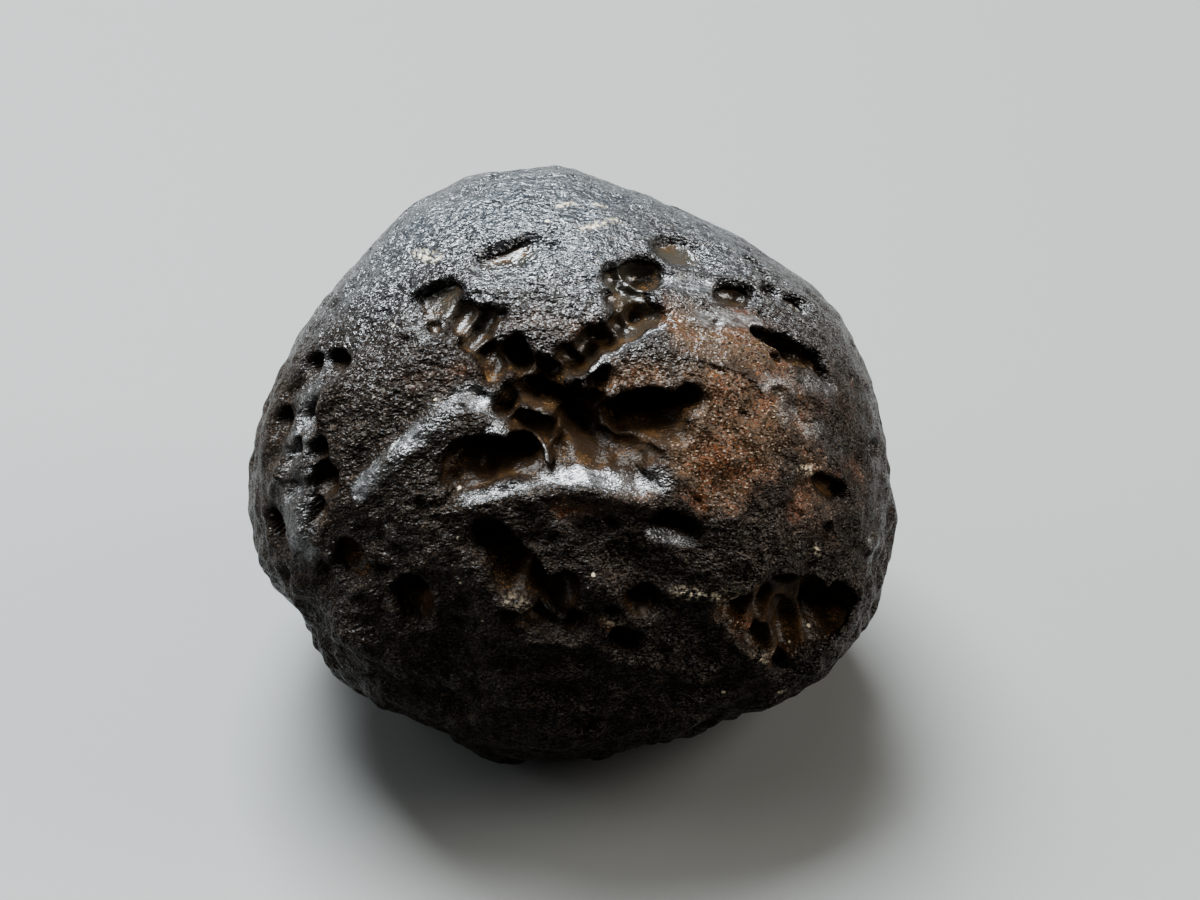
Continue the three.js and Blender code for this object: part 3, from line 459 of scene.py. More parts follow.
# %% Hills at one scale
LATTICE = 32  # cubes along each side of the lattice, which then repeats
OFF_CENTRE = 7.3  # cubes that the lattice is shifted by, an arbitrary choice
rng = np.random.default_rng(28)
lattice = rng.uniform(-1, 1, (LATTICE, LATTICE, LATTICE))


def hills(points, size):
    """Smooth random heights from -1 to 1. The place in its lattice cube is eased, 3t squared minus 2t
    cubed, and the eight corner heights are blended along one axis after another."""
    place = points / size + OFF_CENTRE
    cell = np.floor(place).astype(int)
    t = place - cell
    t = t * t * (3 - 2 * t)
    corner = [cell % LATTICE, (cell + 1) % LATTICE]

    def along_x(j, k):
        """The blend along X between the two corners that are low or high in Y by j and in Z by k."""
        low = lattice[corner[0][:, 0], corner[j][:, 1], corner[k][:, 2]]
        high = lattice[corner[1][:, 0], corner[j][:, 1], corner[k][:, 2]]
        return low + (high - low) * t[:, 0]

    near = along_x(0, 0) + (along_x(1, 0) - along_x(0, 0)) * t[:, 1]
    far = along_x(0, 1) + (along_x(1, 1) - along_x(0, 1)) * t[:, 1]
    return near + (far - near) * t[:, 2]


SKIN_HILLS = ((2.4, 0.12), (1.1, 0.08), (0.6, 0.07), (0.36, 0.045))  # size and height of each scale


def skin_radius(directions):
    """The folded body with the hills of every scale added. On the shaded lower part they are higher."""
    radius = folded_radius(directions)
    points = directions * radius[:, None]
    below = np.clip(-(points @ UP) / 6 + 0.2, 0, 1)
    return radius + (1 + 1.4 * below) * sum(height * hills(points, size) for size, height in SKIN_HILLS)


print("hills", [size for size, _ in SKIN_HILLS], "mm apart")

# %% [markdown]
# Etched pits are never quite round. So a direction is turned slightly aside by slow waves before it
# looks for pits, and every outline wobbles a little.

# %% Wobbling outlines
WOBBLE_RADIUS = 13
WOBBLES = ((3.6, 0.12), (1.6, 0.07))  # how far apart the waves are and how far they reach to each side


def wobbled(directions):
    """Each coordinate on a ball of the wobble radius is moved by sine waves that run across the other
    two."""
    x, y, z = WOBBLE_RADIUS * directions.T
    ahead = np.stack([y + 0.6 * z, z + 0.6 * x, x + 0.6 * y], axis=1)
    moved = WOBBLE_RADIUS * directions
    for apart, aside in WOBBLES:
        moved = moved + aside * np.sin(2 * math.pi * ahead / apart + [1, 2, 3])
    return unit(moved)


print("outlines wobble by up to", sum(aside for _, aside in WOBBLES), "mm along each axis")

# %% [markdown]
# ## The whole surface
# Body, folds, hills and pits come together in one function, which takes any number of directions at
# once. The small cups that follow, and the mesh, ask it where the surface is.

# %% The whole surface
PIT_RIPPLES = ((1.4, 0.07), (0.7, 0.045))  # size and height of the soft ripples on the pits' floors
FULL_RIPPLES = 0.3  # depth at which the ripples have grown to their full height
ROUNDS = 4  # times that the pits are gone through, for pits that open inside others


def surface_radius(directions):
    """The skin's distance, then inwards: wherever a direction is inside a pit's ellipsoid at its present
    distance, the distance drops to where the direction enters that ellipsoid from the middle. This is
    done over again until all pits that overlap have been met. Soft ripples are added to the floors.
    Nothing goes below the resting plane. Returns the distance and how deep below the skin it is."""
    skin = skin_radius(directions)
    radius = skin.copy()
    aside = wobbled(directions)
    spans = []
    for heading, reach, centre, to_ball in pits:
        near = np.nonzero(aside @ heading > reach)[0]
        rays, middle = aside[near] @ to_ball.T, -to_ball @ centre
        a, b = (rays ** 2).sum(axis=1), rays @ middle
        under = b ** 2 - a * (middle @ middle - 1)
        hit = under > 0
        near, a, b, root = near[hit], a[hit], b[hit], np.sqrt(under[hit])
        spans.append((near, (-b - root) / a, (-b + root) / a))
    for _ in range(ROUNDS):
        for near, inner, outer in spans:
            met = (inner < radius[near]) & (radius[near] <= outer)
            radius[near[met]] = inner[met]
    depth = skin - radius
    ripples = sum(height * hills(directions * radius[:, None], size) for size, height in PIT_RIPPLES)
    radius += np.clip(depth / FULL_RIPPLES, 0, 1) * ripples
    down = -directions[:, 2]
    floor = np.where(down > 0, REST_HEIGHT / np.maximum(down, 1e-9), np.inf)
    return np.minimum(radius, floor), depth


print("straight out, the surface is", surface_radius(OUT[None])[0][0].round(2), "mm from the middle")

# %% [markdown]
# ## Cups within cups
# Inside the large pits, etching went on: their walls are scalloped by small cups, and the skin between
# has pinholes. The seeded random generator strews them over the stone, the same each time. Each one is
# set square on the surface where it lands, and more of those that land in a pit are kept.

# %% Strewn cups
STREWN = 3600  # places tried
IN_A_PIT = 0.6  # depth below the skin from which a place counts as inside a pit
KEPT_IN_PITS, KEPT_IN_SKIN = 0.35, 0.06  # shares of the places that get a cup
NORMAL_STEP = 0.3 / 13  # about 0.3 mm on the stone


def surface_normals(directions):
    """The outward directions across the surface: the cross product of two small steps along it."""
    aside = unit(np.cross(directions, UP))
    steps = [aside, np.cross(directions, aside)]
    ends = [unit(directions + NORMAL_STEP * step) for step in steps]
    here = directions * surface_radius(directions)[0][:, None]
    first, second = (end * surface_radius(end)[0][:, None] - here for end in ends)
    normals = unit(np.cross(first, second))
    return normals * np.sign((normals * directions).sum(axis=1, keepdims=True))


strewn = unit(rng.normal(size=(STREWN, 3)))
landed, depth = surface_radius(strewn)
kept = rng.random(len(strewn)) < np.where(depth > IN_A_PIT, KEPT_IN_PITS, KEPT_IN_SKIN)
strewn, landed, depth = strewn[kept], landed[kept], depth[kept]
in_pits = depth > IN_A_PIT
# Cups in pits are 0.5 to 1 mm wide. Pinholes are mostly near 0.42 mm, and seldom up to 0.92.
cup_wide = np.where(in_pits, rng.uniform(0.5, 1.0, len(depth)), 0.42 + 0.5 * rng.random(len(depth)) ** 3)
cup_tall = cup_wide * rng.uniform(0.7, 1.0, len(depth))
cup_deep = cup_wide * rng.uniform(0.22, 0.38, len(depth))
pits += pit_balls(strewn * landed[:, None], surface_normals(strewn), UP, cup_wide, cup_tall, cup_deep,
                  rng.uniform(0, 180, len(strewn)), np.zeros(len(strewn)))
print(in_pits.sum(), "cups in the pits and", (~in_pits).sum(), "pinholes in the skin")

# %% [markdown]
# A few small cups can't be left to chance, because the eye would miss them: those in the cluster on the
# left flank, and one bright little scoop under the central cavity.

# %% Small cups, listed
# Across, up, mouth width, mouth height, depth, turn, lean.
SMALL_CUPS = np.array([
    (-11.4, 4.5, 1.1, 0.8, 0.55, 10, 0),
    (-10.4, 4.7, 1.3, 0.9, 0.6, -5, 0),
    (-11.6, 2.3, 1.1, 1.0, 0.7, 30, 0),
    (-12.8, 1.9, 0.6, 1.1, 0.5, -30, 0),
    (-11.3, 0.6, 1.0, 1.0, 0.7, 0, 0),
    (-12.2, 0.5, 0.5, 0.8, 0.45, 0, 0),
    (-11.1, -0.9, 1.5, 1.3, 0.8, 0, 0),
    (-11.4, -2.1, 0.8, 1.0, 0.6, 0, 0),
    (-13.3, -2.7, 0.7, 1.3, 0.5, 0, 0),
    (4.4, -2.9, 2.0, 1.9, 0.15, -8, -50),
])
cup_headings = unit(sighted(*SMALL_CUPS[:, :2].T))
cup_wide, cup_tall, cup_deep, cup_turn, cup_lean = SMALL_CUPS[:, 2:].T
cup_points = cup_headings * surface_radius(cup_headings)[0][:, None]
pits += pit_balls(cup_points, surface_normals(cup_headings), UP, cup_wide, cup_tall, cup_deep, cup_turn,
                  np.radians(cup_lean))
print(len(SMALL_CUPS), "small cups by hand,", len(pits), "ellipsoids in all")

# %% [markdown]
# ## Undercut
# The pits are undercut: their upper wall hangs over, and their lower wall is a ramp. One distance for
# each direction can't say that, so the deeper a point lies below the skin, the further it is moved up
# along the skin. At a rim the depth is nothing, so rims stay where they are.

# %% Undercut
def undercut(directions, depth):
    """How far each point moves: its depth times the undercut, along the part of the upward direction
    that lies in the skin."""
    uphill = UP - (directions @ UP)[:, None] * directions
    return UNDERCUT * depth[:, None] * uphill


print("insides of pits are drawn upwards by", UNDERCUT, "of their depth")

# %% [markdown]
# ## The mesh
# The surface needs a grid with no poles. Six square grids are bent onto the six sides of a ball, as if a
# cube were blown up, and welded along their edges. Then the mesh relaxes: each point moves towards the
# mean of its neighbours and back onto the surface, a few times. That draws points from the flat parts
# onto the steep walls of the pits, where they are needed. Two last moves without going back, the second
# only inwards, round off the rims as etching does.

# %% Six grids on a ball
GRID = 129  # quads along the side of each of the six grids
FOCUS = 0.4  # how far the ball of points is pushed towards the face, which crowds them there


def cube_side(u, v, side):
    """A grid on one side of a cube, bent onto a ball: the tangents of u and v, from -45 to 45 degrees, are
    two coordinates, and the third is plus or minus one."""
    a, b = np.tan(u * math.pi / 4), np.tan(v * math.pi / 4)
    axis, sign = side % 3, 1 if side < 3 else -1
    points = np.empty(u.shape + (3,))
    points[..., axis] = sign
    points[..., (axis + 1) % 3] = a * sign
    points[..., (axis + 2) % 3] = b
    return points.reshape(-1, 3)


line = np.linspace(-1, 1, GRID + 1)
u, v = np.meshgrid(line, line, indexing="ij")
corners = np.arange((GRID + 1) ** 2).reshape(GRID + 1, GRID + 1)
one_side = np.stack([corners[:-1, :-1], corners[1:, :-1], corners[1:, 1:], corners[:-1, 1:]], axis=-1)
cube = np.vstack([cube_side(u, v, side) for side in range(6)])
quads = np.vstack([one_side.reshape(-1, 4) + side * corners.size for side in range(6)])
# Points that grids share along their edges become one.
_, first, same = np.unique(cube.round(6), axis=0, return_index=True, return_inverse=True)
directions = unit(unit(cube[first]) + FOCUS * OUT)
quads = same.reshape(-1)[quads]
print(len(directions), "points,", len(quads), "quads,", 2 * len(quads), "triangles")

# %% Relaxing the mesh
RELAXINGS, RELAX_SHARE = 8, 0.6  # how often, and how far towards the neighbours' mean each time
SMOOTH_SHARE, WEAR_SHARE = 0.4, 0.6  # of the two last moves
DEPTH_BLURS = 3  # times that the depth in pits is evened out before the material reads it
sides = np.vstack([quads[:, [0, 1]], quads[:, [1, 2]], quads[:, [2, 3]], quads[:, [3, 0]]])
neighbours = np.bincount(sides[:, 0])


def neighbour_mean(points):
    """The mean of the points at the other ends of the edges that leave each point."""
    sums = [np.bincount(sides[:, 0], points[sides[:, 1], k]) for k in range(3)]
    return np.stack(sums, axis=1) / neighbours[:, None]


radius, depth = surface_radius(directions)
points = directions * radius[:, None]
for _ in range(RELAXINGS):
    directions = unit(points + RELAX_SHARE * (neighbour_mean(points) - points))
    radius, depth = surface_radius(directions)
    points = directions * radius[:, None]
points = points + undercut(directions, depth)
points = points + SMOOTH_SHARE * (neighbour_mean(points) - points)
step = neighbour_mean(points) - points
worn_off = np.minimum((step * directions).sum(axis=1, keepdims=True), 0)
points = points + WEAR_SHARE * worn_off * directions
for _ in range(DEPTH_BLURS):
    depth = np.bincount(sides[:, 0], depth[sides[:, 1]]) / neighbours
point_values = {"pit_depth": depth}
points = points + MIDDLE
points[:, 2] = np.maximum(points[:, 2], 0)
print("stone, mm:", points.min(axis=0).round(2), "to", points.max(axis=0).round(2))

# %% [markdown]
# ## Where the skin is polished, rusty or stained, and where light is painted on
# Some stretches of the skin are satin without grain, and their paler colour is a painted sheen. A large
# part of the right shoulder is red-brown, and soil has left cream streaks. Brown and cream strokes on the
# lower rims of shaded pits and along a ledge are partly painted highlights. Each is laid on as strokes
# between two places on the face. The mesh carries the three shares point by point, as it carries the depth
# in pits, and the material reads them.

# %% Strokes
# From across, up; to across, up; reach; share at the middle of the stroke.
# Polished strokes are smooth, and their pale grey colour is a painted sheen; many lie where the lamp's
# highlight falls.
POLISHED_WITH_SHEEN = np.array([
    (-11.2, 3.9, -12.0, -3.6, 2.4, 0.55),  # the cluster on the left flank
    (-9.2, -1.1, -6.5, 1.4, 0.85, 1.0),  # the furrow from the left flank
    (-6.5, 1.4, -4.6, 3.0, 1.2, 0.6),
    (-4.2, 2.9, -2.7, 2.1, 0.9, 1.0),  # round the small cups
    (0.6, 4.0, 4.1, 6.0, 0.5, 0.7),  # the bank under the right groove
    (4.6, 8.2, 6.3, 7.7, 1.3, 1.0),  # the saddle
    (5.9, 6.4, 8.1, 6.2, 1.1, 0.9),  # satin patches on the shoulder
    (8.5, 3.4, 11.5, 3.2, 1.2, 0.5),
    (9.2, 2.2, 11.6, 0.6, 1.6, 0.4),
    (-5.5, -1.0, -4.4, -1.5, 0.8, 0.6),  # the lower rims of the central pits
    (-4.4, -1.5, -1.5, -0.8, 0.7, 0.7),
    (-1.2, -0.4, 1.4, -0.7, 1.1, 0.9),  # the slope under the central cavity
    (1.4, -0.7, 3.9, -1.0, 1.2, 0.65),
    (3.7, -3.1, 5.2, -3.3, 0.8, 1.0),  # the little scoop under it
    (-3.4, 1.5, -0.6, 0.5, 0.6, 1.0),  # the rim of the eye-shaped pit
    (-6.8, 6.2, -6.2, 5.5, 0.9, 0.5),  # the floor of the broad scoop
    (12.6, 4.5, 13.3, -3.5, 3.8, 0.36),  # the right edge
])
RUST_AND_LIT_RIMS = np.array([
    (5.6, 5.8, 8.3, 4.9, 2.8, 1.0),  # the right shoulder and flank
    (6.5, 2.7, 8.3, 1.0, 3.4, 1.0),
    (5.2, 0.5, 6.5, -0.8, 3.0, 0.9),
    (8.5, 4.0, 11.0, -1.5, 3.4, 0.6),
    (11.8, 4.0, 12.6, -3.0, 2.0, 0.3),
    (2.1, 3.6, 5.2, 4.0, 1.8, 0.7),  # the bank over the central cavity
    (-6.9, 3.5, -4.9, 4.0, 1.3, 0.45),  # left of the left groove
    (-2.4, 5.8, 1.0, 6.2, 2.0, 0.32),  # the brow between the grooves
    (-0.5, -1.9, 3.5, -1.7, 0.9, 0.7),  # under the bright slope
    (6.8, -6.6, 9.4, -8.4, 1.6, 0.8),  # the lower right scoop
    # Brown on the lower rims of the pits in the shade: partly their own tone, partly painted light that the
    # rims catch.
    (-7.5, -6.0, -6.3, -6.5, 0.6, 0.9),  # the lower rims of the pits in the shade
    (-2.2, -4.9, -0.8, -6.5, 0.7, 0.8),
    (-2.7, -6.9, -1.9, -7.1, 0.5, 0.9),
    (1.3, -7.0, 2.9, -7.8, 0.6, 0.9),
    (2.7, -6.1, 3.9, -6.2, 0.5, 0.8),
    (-9.6, -4.2, -9.0, -4.8, 0.5, 0.8),
])
STAINED_AND_GLINTS = np.array([
    (0.6, 10.2, 2.1, 10.5, 0.30, 1.0),  # the brow
    (-6.8, 9.2, -5.8, 9.0, 0.36, 1.0),
    (-0.5, 11.3, 0.1, 11.4, 0.26, 1.0),
    (1.2, 11.3, 1.6, 11.2, 0.24, 1.0),
    (-6.7, 6.9, -6.6, 6.4, 0.20, 1.0),
    (10.0, -0.4, 10.5, -0.4, 0.24, 1.0),  # the right flank
    (9.1, -10.1, 9.2, -10.1, 0.40, 1.0),
    # Cream along the ledge over the lower right scoop: a painted line of glints.
    (4.6, -5.8, 7.0, -5.8, 0.45, 0.75),  # along the ledge over the lower right scoop
    (7.0, -5.8, 9.2, -5.5, 0.40, 0.6),
    (6.9, -7.8, 8.4, -8.8, 0.45, 0.5),  # its lower lip
    # Cream on the lower rims of the pits in the shade: painted highlights.
    (-7.1, -6.5, -6.3, -6.5, 0.36, 0.55),  # lower rims of the pits in the shade
    (-2.9, -6.0, -1.6, -6.4, 0.36, 0.22),
    (1.5, -6.9, 2.0, -7.0, 0.34, 0.5),
    (2.9, -6.5, 3.7, -6.4, 0.34, 0.5),
    (2.1, -8.0, 2.8, -8.0, 0.36, 0.55),
    (7.6, -7.5, 8.0, -8.2, 0.22, 0.9),  # single flecks
    (10.7, -3.8, 10.8, -4.0, 0.22, 0.9),
    (-5.1, -11.0, -4.6, -11.2, 0.25, 0.7),
    (0.3, -11.5, 0.6, -11.5, 0.20, 0.6),
])


def strokes(points, rows):
    """How much of the strokes each point gets: by its distance from the nearest place on the line from
    start to end, one at the line and nothing at its reach, eased by 3t squared minus 2t cubed."""
    share = np.zeros(len(points))
    for start, end, reach, most in zip(sighted(*rows[:, :2].T), sighted(*rows[:, 2:4].T), *rows[:, 4:].T):
        along = np.clip((points - start) @ (end - start) / ((end - start) @ (end - start)), 0, 1)
        away = np.linalg.norm(points - start - along[:, None] * (end - start), axis=1)
        t = np.clip(1 - away / reach, 0, 1)
        share = np.maximum(share, most * t * t * (3 - 2 * t))
    return share


for name, rows in (("polish_and_sheen", POLISHED_WITH_SHEEN), ("rust_and_highlights", RUST_AND_LIT_RIMS), ("stain_and_glint", STAINED_AND_GLINTS)):
    point_values[name] = strokes(points - MIDDLE, rows)
    print(name, "on", (point_values[name] > 0.5).sum(), "points")

# %% [markdown]
# ## The mesh in Blender
# The points turn into metres. The object stays at the origin, because they already lie where the packed
# part has them. It rides on the part's one body and takes the plain solid's place.

# %% The mesh in Blender
def added(name, data):
    """A new object for a mesh, lamp or camera, put into the scene."""
    made = bpy.data.objects.new(name, data)
    bpy.context.scene.collection.objects.link(made)
    return made


mesh = bpy.data.meshes.new("tektite_skin")
mesh.from_pydata(points / 1000, [], quads.tolist())
mesh.shade_smooth()
for name, values in point_values.items():
    mesh.attributes.new(name, "FLOAT", "POINT").data.foreach_set("value", values)
mesh.validate()
stone = added("stone", mesh)
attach(stone, "root")
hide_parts("tektite")
print("stone:", len(mesh.vertices), "points, deepest pit", depth.max().round(2), "mm")

# %% [markdown]
# ## The glass
# The glass is almost black in the mass, with a red-brown cast where it is weathered. One mostly sees its
# surface: a skin of fine grains that glint one by one, satin strokes without grain, and pits that are
# glossy and warm brown inside. One material reads the place on the stone, in millimetres, and the four
# numbers that the mesh carries, and mixes colour, gloss and grain from them.

# %% A small kit for nodes
glass = bpy.data.materials.new("tektite_glass")
glass.use_nodes = True
tree = glass.node_tree
tree.nodes.clear()


def fill(sockets, values):
    """Sets each socket to a number, or links it to another socket. None leaves it as it is."""
    for socket, value in zip(sockets, values):
        if isinstance(value, bpy.types.NodeSocket):
            tree.links.new(value, socket)
        elif value is not None:
            socket.default_value = value


def node(kind, *inputs, **settings):
    """Adds a node, sets its settings, and fills its inputs in order."""
    made = tree.nodes.new("ShaderNode" + kind)
    for name, value in settings.items():
        setattr(made, name, value)
    fill(made.inputs, inputs)
    return made


def maths(operation, *values, clamp=False):
    """A sum, product or other operation on numbers."""
    return node("Math", *values, operation=operation, use_clamp=clamp).outputs[0]


def product(one, other):
    """Two numbers multiplied."""
    return maths("MULTIPLY", one, other)


def vectors(operation, *values):
    """An operation on vectors that gives a vector."""
    return node("VectorMath", *values, operation=operation).outputs[0]


def scaled(vector, factor):
    """A vector made longer or shorter by a factor, which sits in the node's fourth input."""
    return vectors("SCALE", vector, None, None, factor)


def along(direction):
    """How far the place lies along a direction, from the resting plane's middle, in millimetres."""
    return node("VectorMath", place, tuple(direction), operation="DOT_PRODUCT").outputs["Value"]


def ramp(value, low, high, low_out=0.0, high_out=1.0):
    """A smooth step from one output to the other while the value goes from low to high."""
    return node("MapRange", value, low, high, low_out, high_out, interpolation_type="SMOOTHSTEP").outputs[0]


def mixed(share, one, other):
    """A blend of two colours. The node keeps its share and its two colours in inputs 0, 6 and 7."""
    made = node("Mix", data_type="RGBA")
    fill([made.inputs[0], made.inputs[6], made.inputs[7]], [share, one, other])
    return made.outputs[2]


def noise(place, size, detail=2.0, roughness=0.5):
    """Noise from 0 to 1 whose hills are about one size apart, in millimetres."""
    return node("TexNoise", place, None, 1 / size, detail, roughness).outputs[0]


def swing(noise_value, reach):
    """Noise from 0 to 1, turned into a swing about 0."""
    return maths("MULTIPLY_ADD", noise_value, reach, -0.5 * reach)


def ragged(value, size, reach, detail=2.0, roughness=0.5):
    """A value with noise swinging about it, so that its level lines wander."""
    return maths("ADD", value, swing(noise(place, size, detail, roughness), reach))


def less(share, whole=1.0):
    """What is left of a whole after a share of it is taken away."""
    return product(whole, maths("SUBTRACT", 1.0, share))


def carried(name):
    """A number that the mesh carries at each point."""
    return node("Attribute", attribute_name=name).outputs["Fac"]


# Object coordinates are metres, and this turns them into millimetres.
place = vectors("MULTIPLY", node("TexCoord").outputs["Object"], (1000, 1000, 1000))
print("kit ready")

# %% [markdown]
# ### Where each kind of surface is
# Four kinds of surface meet on the stone: frosted skin, the brown inside of pits, polished strokes and
# the weathered shoulder. Each has a share from 0 to 1, which starts from a number that the mesh carries.
# Noise is added to it before it is cut off, so that the borders come out ragged.
# Painting masks would do too, but it would tie them to one unwrapping of the skin.

# %% Shares of pit, polish and rust
mottle = noise(place, 1.6, detail=4.0, roughness=0.65)
polish_and_sheen = ramp(ragged(carried("polish_and_sheen"), 0.5, 0.7, detail=3.0, roughness=0.6), 0.15, 0.85)
ragged_depth = ragged(carried("pit_depth"), 0.4, 0.24)
in_pit = less(carried("polish_and_sheen"), ramp(ragged_depth, 0.24, 0.54))
brown_share = ramp(maths("ADD", carried("rust_and_highlights"), swing(mottle, 1.2)), 0.1, 0.8)
brown_share = less(product(polish_and_sheen, 0.7), brown_share)
plain_skin = less(in_pit, less(product(polish_and_sheen, 0.85), less(product(brown_share, 0.75))))
not_brown = less(brown_share, plain_skin)
print("shares from", len(point_values), "carried numbers")

# %% [markdown]
# ### How worn the skin is, and its painted sheen
# The paleness of the skin is partly wear and partly a painted sheen. Frost on the grains grows along the
# face's upward direction, with wide noise on it, so that the brow is pale where the lamp's highlight falls
# and the rest stays dark brown. It is less on the back, which faces the lamp.

# %% Wear
middle_up, middle_out = float(MIDDLE @ UP), float(MIDDLE @ OUT)
height = ragged(along(UP), 5.0, 8.0, detail=3.0)
# Less of the wear and painted sheen on the back, which faces the window lamp and would come out too bright.
wear_and_sheen_to_front = ramp(along(OUT), middle_out - 4.0, middle_out + 7.0, 0.35, 1.0)
worn_and_sheen = product(wear_and_sheen_to_front, ramp(height, middle_up + 2.5, middle_up + 10.5))
bleached_and_sheen = product(wear_and_sheen_to_front, ramp(height, middle_up + 5.0, middle_up + 11.5))
print("worn from", round(middle_up + 2.5, 1), "mm upwards")

# %% [markdown]
# ### Grains
# The skin is made of grains a tenth of a millimetre across. Each has a colour of its own and faces its
# own way, so that a few of them flash in the lamp and their neighbours stay dark. Noise alone gives
# worm-like ridges instead. A Voronoi pattern gives grains: it splits space into cells, and each cell has
# three random numbers. Noise shakes the places first, so that the cells' borders aren't straight.

# %% Grains
GRAIN = 0.085  # millimetres from one grain to the next
# The grains are half as wide again as they are high.
pressed = vectors("ADD", place, scaled(tuple(0.5 * UP), along(UP)))
shake = node("TexNoise", pressed, None, 1 / 0.2, 1.0).outputs[1]
shaken = vectors("MULTIPLY_ADD", shake, (0.1, 0.1, 0.1), pressed)
grains = node("TexVoronoi", shaken, None, 1 / GRAIN).outputs["Color"]
lots = node("SeparateColor", grains).outputs  # the three random numbers of each grain
fine = noise(pressed, 0.14, roughness=0.6)
lumps = noise(pressed, 0.5, roughness=0.6)
# Polished glass has no grains, but streaks along level lines.
streaks = noise(vectors("MULTIPLY", place, (0.18, 1.0, 1.0)), 0.2, detail=3.0, roughness=0.65)
print("grains", GRAIN, "mm apart")

# %% [markdown]
# ### The glass under the skin
# The colours are all dark, because the glass swallows nearly all light that enters it. The pits let a
# little out again where their walls are thin, as warm brown patches and amber specks. The shoulder is
# dull red-brown, and single sandy grains on it stand in for glints.

# %% Colours under the skin
BLACK_GLASS = (0.010, 0.009, 0.009, 1)
SATIN_SHEEN_DARK = (0.018, 0.018, 0.018, 1)
SATIN_SHEEN_PALE = (0.060, 0.060, 0.060, 1)
RUST_DARK = (0.020, 0.012, 0.007, 1)
RUST_PALE = (0.038, 0.024, 0.014, 1)
RED_BROWN = (0.095, 0.032, 0.013, 1)
SAND_AND_GLINT_GRAIN = (0.17, 0.13, 0.095, 1)
PIT_BROWN = (0.016, 0.010, 0.006, 1)
PIT_OLIVE = (0.026, 0.025, 0.020, 1)
WARM_BROWN = (0.040, 0.022, 0.010, 1)
AMBER = (0.09, 0.050, 0.022, 1)
# Satin is pale grey with streaks: a painted sheen, like a lamp seen in smooth glass.
satin_sheen = mixed(ramp(streaks, 0.38, 0.62), SATIN_SHEEN_DARK, SATIN_SHEEN_PALE)
rust_and_highlights = mixed(ramp(lots[1], 0.2, 0.9), RUST_DARK, RUST_PALE)
rust_and_highlights = mixed(ramp(maths("ADD", mottle, swing(lots[2], 0.4)), 0.50, 0.85, 0.0, 0.6), rust_and_highlights, RED_BROWN)
# Single pale grains on the rust are painted glints.
rust_and_highlights = mixed(ramp(lots[0], 0.93, 0.97, 0.0, 0.8), rust_and_highlights, SAND_AND_GLINT_GRAIN)
# High on the stone the pits are olive rather than brown: partly painted sheen, as on the skin.
pit_colour = mixed(worn_and_sheen, PIT_BROWN, PIT_OLIVE)
pit_colour = mixed(ramp(noise(place, 0.9, detail=3.0, roughness=0.6), 0.48, 0.72), pit_colour, WARM_BROWN)
speckled = ragged(lots[1], 1.2, 1.2)
pit_colour = mixed(ramp(speckled, 0.85, 1.25), pit_colour, AMBER)
colour = mixed(polish_and_sheen, BLACK_GLASS, satin_sheen)
colour = mixed(brown_share, colour, rust_and_highlights)
colour = mixed(in_pit, colour, pit_colour)
print("glass colours ready")

# %% [markdown]
# ### The grains' colours
# On the plain skin each grain is a pale top or a dark trough, by the first of its random numbers. High
# on the stone the tops are frosty and the troughs grey, partly wear and partly painted sheen, and below
# both are brown. Light is lost between the grains, so troughs also shine less. Low on the stone the
# reflection falls to a tenth. Real glass doesn't do that: it is tuned to keep the lower face dark over a
# floor that lights it.

# %% Tops and troughs
TROUGH_BROWN = (0.010, 0.007, 0.005, 1)
WORN_TROUGH_AND_SHEEN = (0.016, 0.018, 0.021, 1)
BROWN_GRAIN = (0.031, 0.023, 0.017, 1)
FROST_AND_SHEEN = (0.055, 0.060, 0.066, 1)
grain = ragged(lots[0], 0.8, 0.8, detail=3.0)
trough = ramp(grain, 0.35, 0.65, 1.0, 0.0)
tops = ramp(grain, 0.6, 0.9)
# Grey troughs and frosty tops high up are partly a painted sheen.
colour = mixed(product(trough, not_brown), colour, mixed(bleached_and_sheen, TROUGH_BROWN, WORN_TROUGH_AND_SHEEN))
colour = mixed(product(tops, not_brown), colour, mixed(worn_and_sheen, BROWN_GRAIN, FROST_AND_SHEEN))
lost = product(trough, ramp(plain_skin, 0.0, 1.0, 0.2, 0.85))
lost = product(lost, ramp(worn_and_sheen, 0.3, 1.0, 1.0, 0.7))
shine = less(lost, ramp(height, middle_up + 2.5, middle_up + 9.0, 0.10, 1.0))
print("tops and troughs ready")

# %% [markdown]
# ### Soil left in the skin, and painted glints
# A few pale specks of soil are caught in the grain. Cells of a wider Voronoi pattern give each speck its
# middle and a random number, and only the highest numbers hold a speck. The same cream is laid along the
# stain strokes, and where these run along a ledge and the lower rims of shaded pits it is a painted
# highlight.

# %% Pale specks
CREAM_SOIL_AND_GLINT = (0.42, 0.36, 0.26, 1)
cells = node("TexVoronoi", place, None, 1 / 0.9)
chosen = maths("GREATER_THAN", node("SeparateColor", cells.outputs["Color"]).outputs[0], 0.96)
speck = product(chosen, ramp(cells.outputs["Distance"], 0.06, 0.15, 1.0, 0.0))
soil_and_glints = maths("MAXIMUM", speck, carried("stain_and_glint"))
stains_and_glints = maths("MULTIPLY", soil_and_glints, ramp(noise(place, 0.2, detail=3.0), 0.45, 0.58), clamp=True)
colour = mixed(stains_and_glints, colour, CREAM_SOIL_AND_GLINT)
print("specks ready")

# %% [markdown]
# ### Relief and gloss
# Two things bend the light. A bump map of low noise hills makes the skin uneven, and each grain's three
# random numbers, less a half, tip the surface its own way. Polished strokes have streaks instead, and
# pits are nearly smooth. Strokes reflect in full between their streaks, brown glass a little less than
# plain skin, and pits six tenths as much.

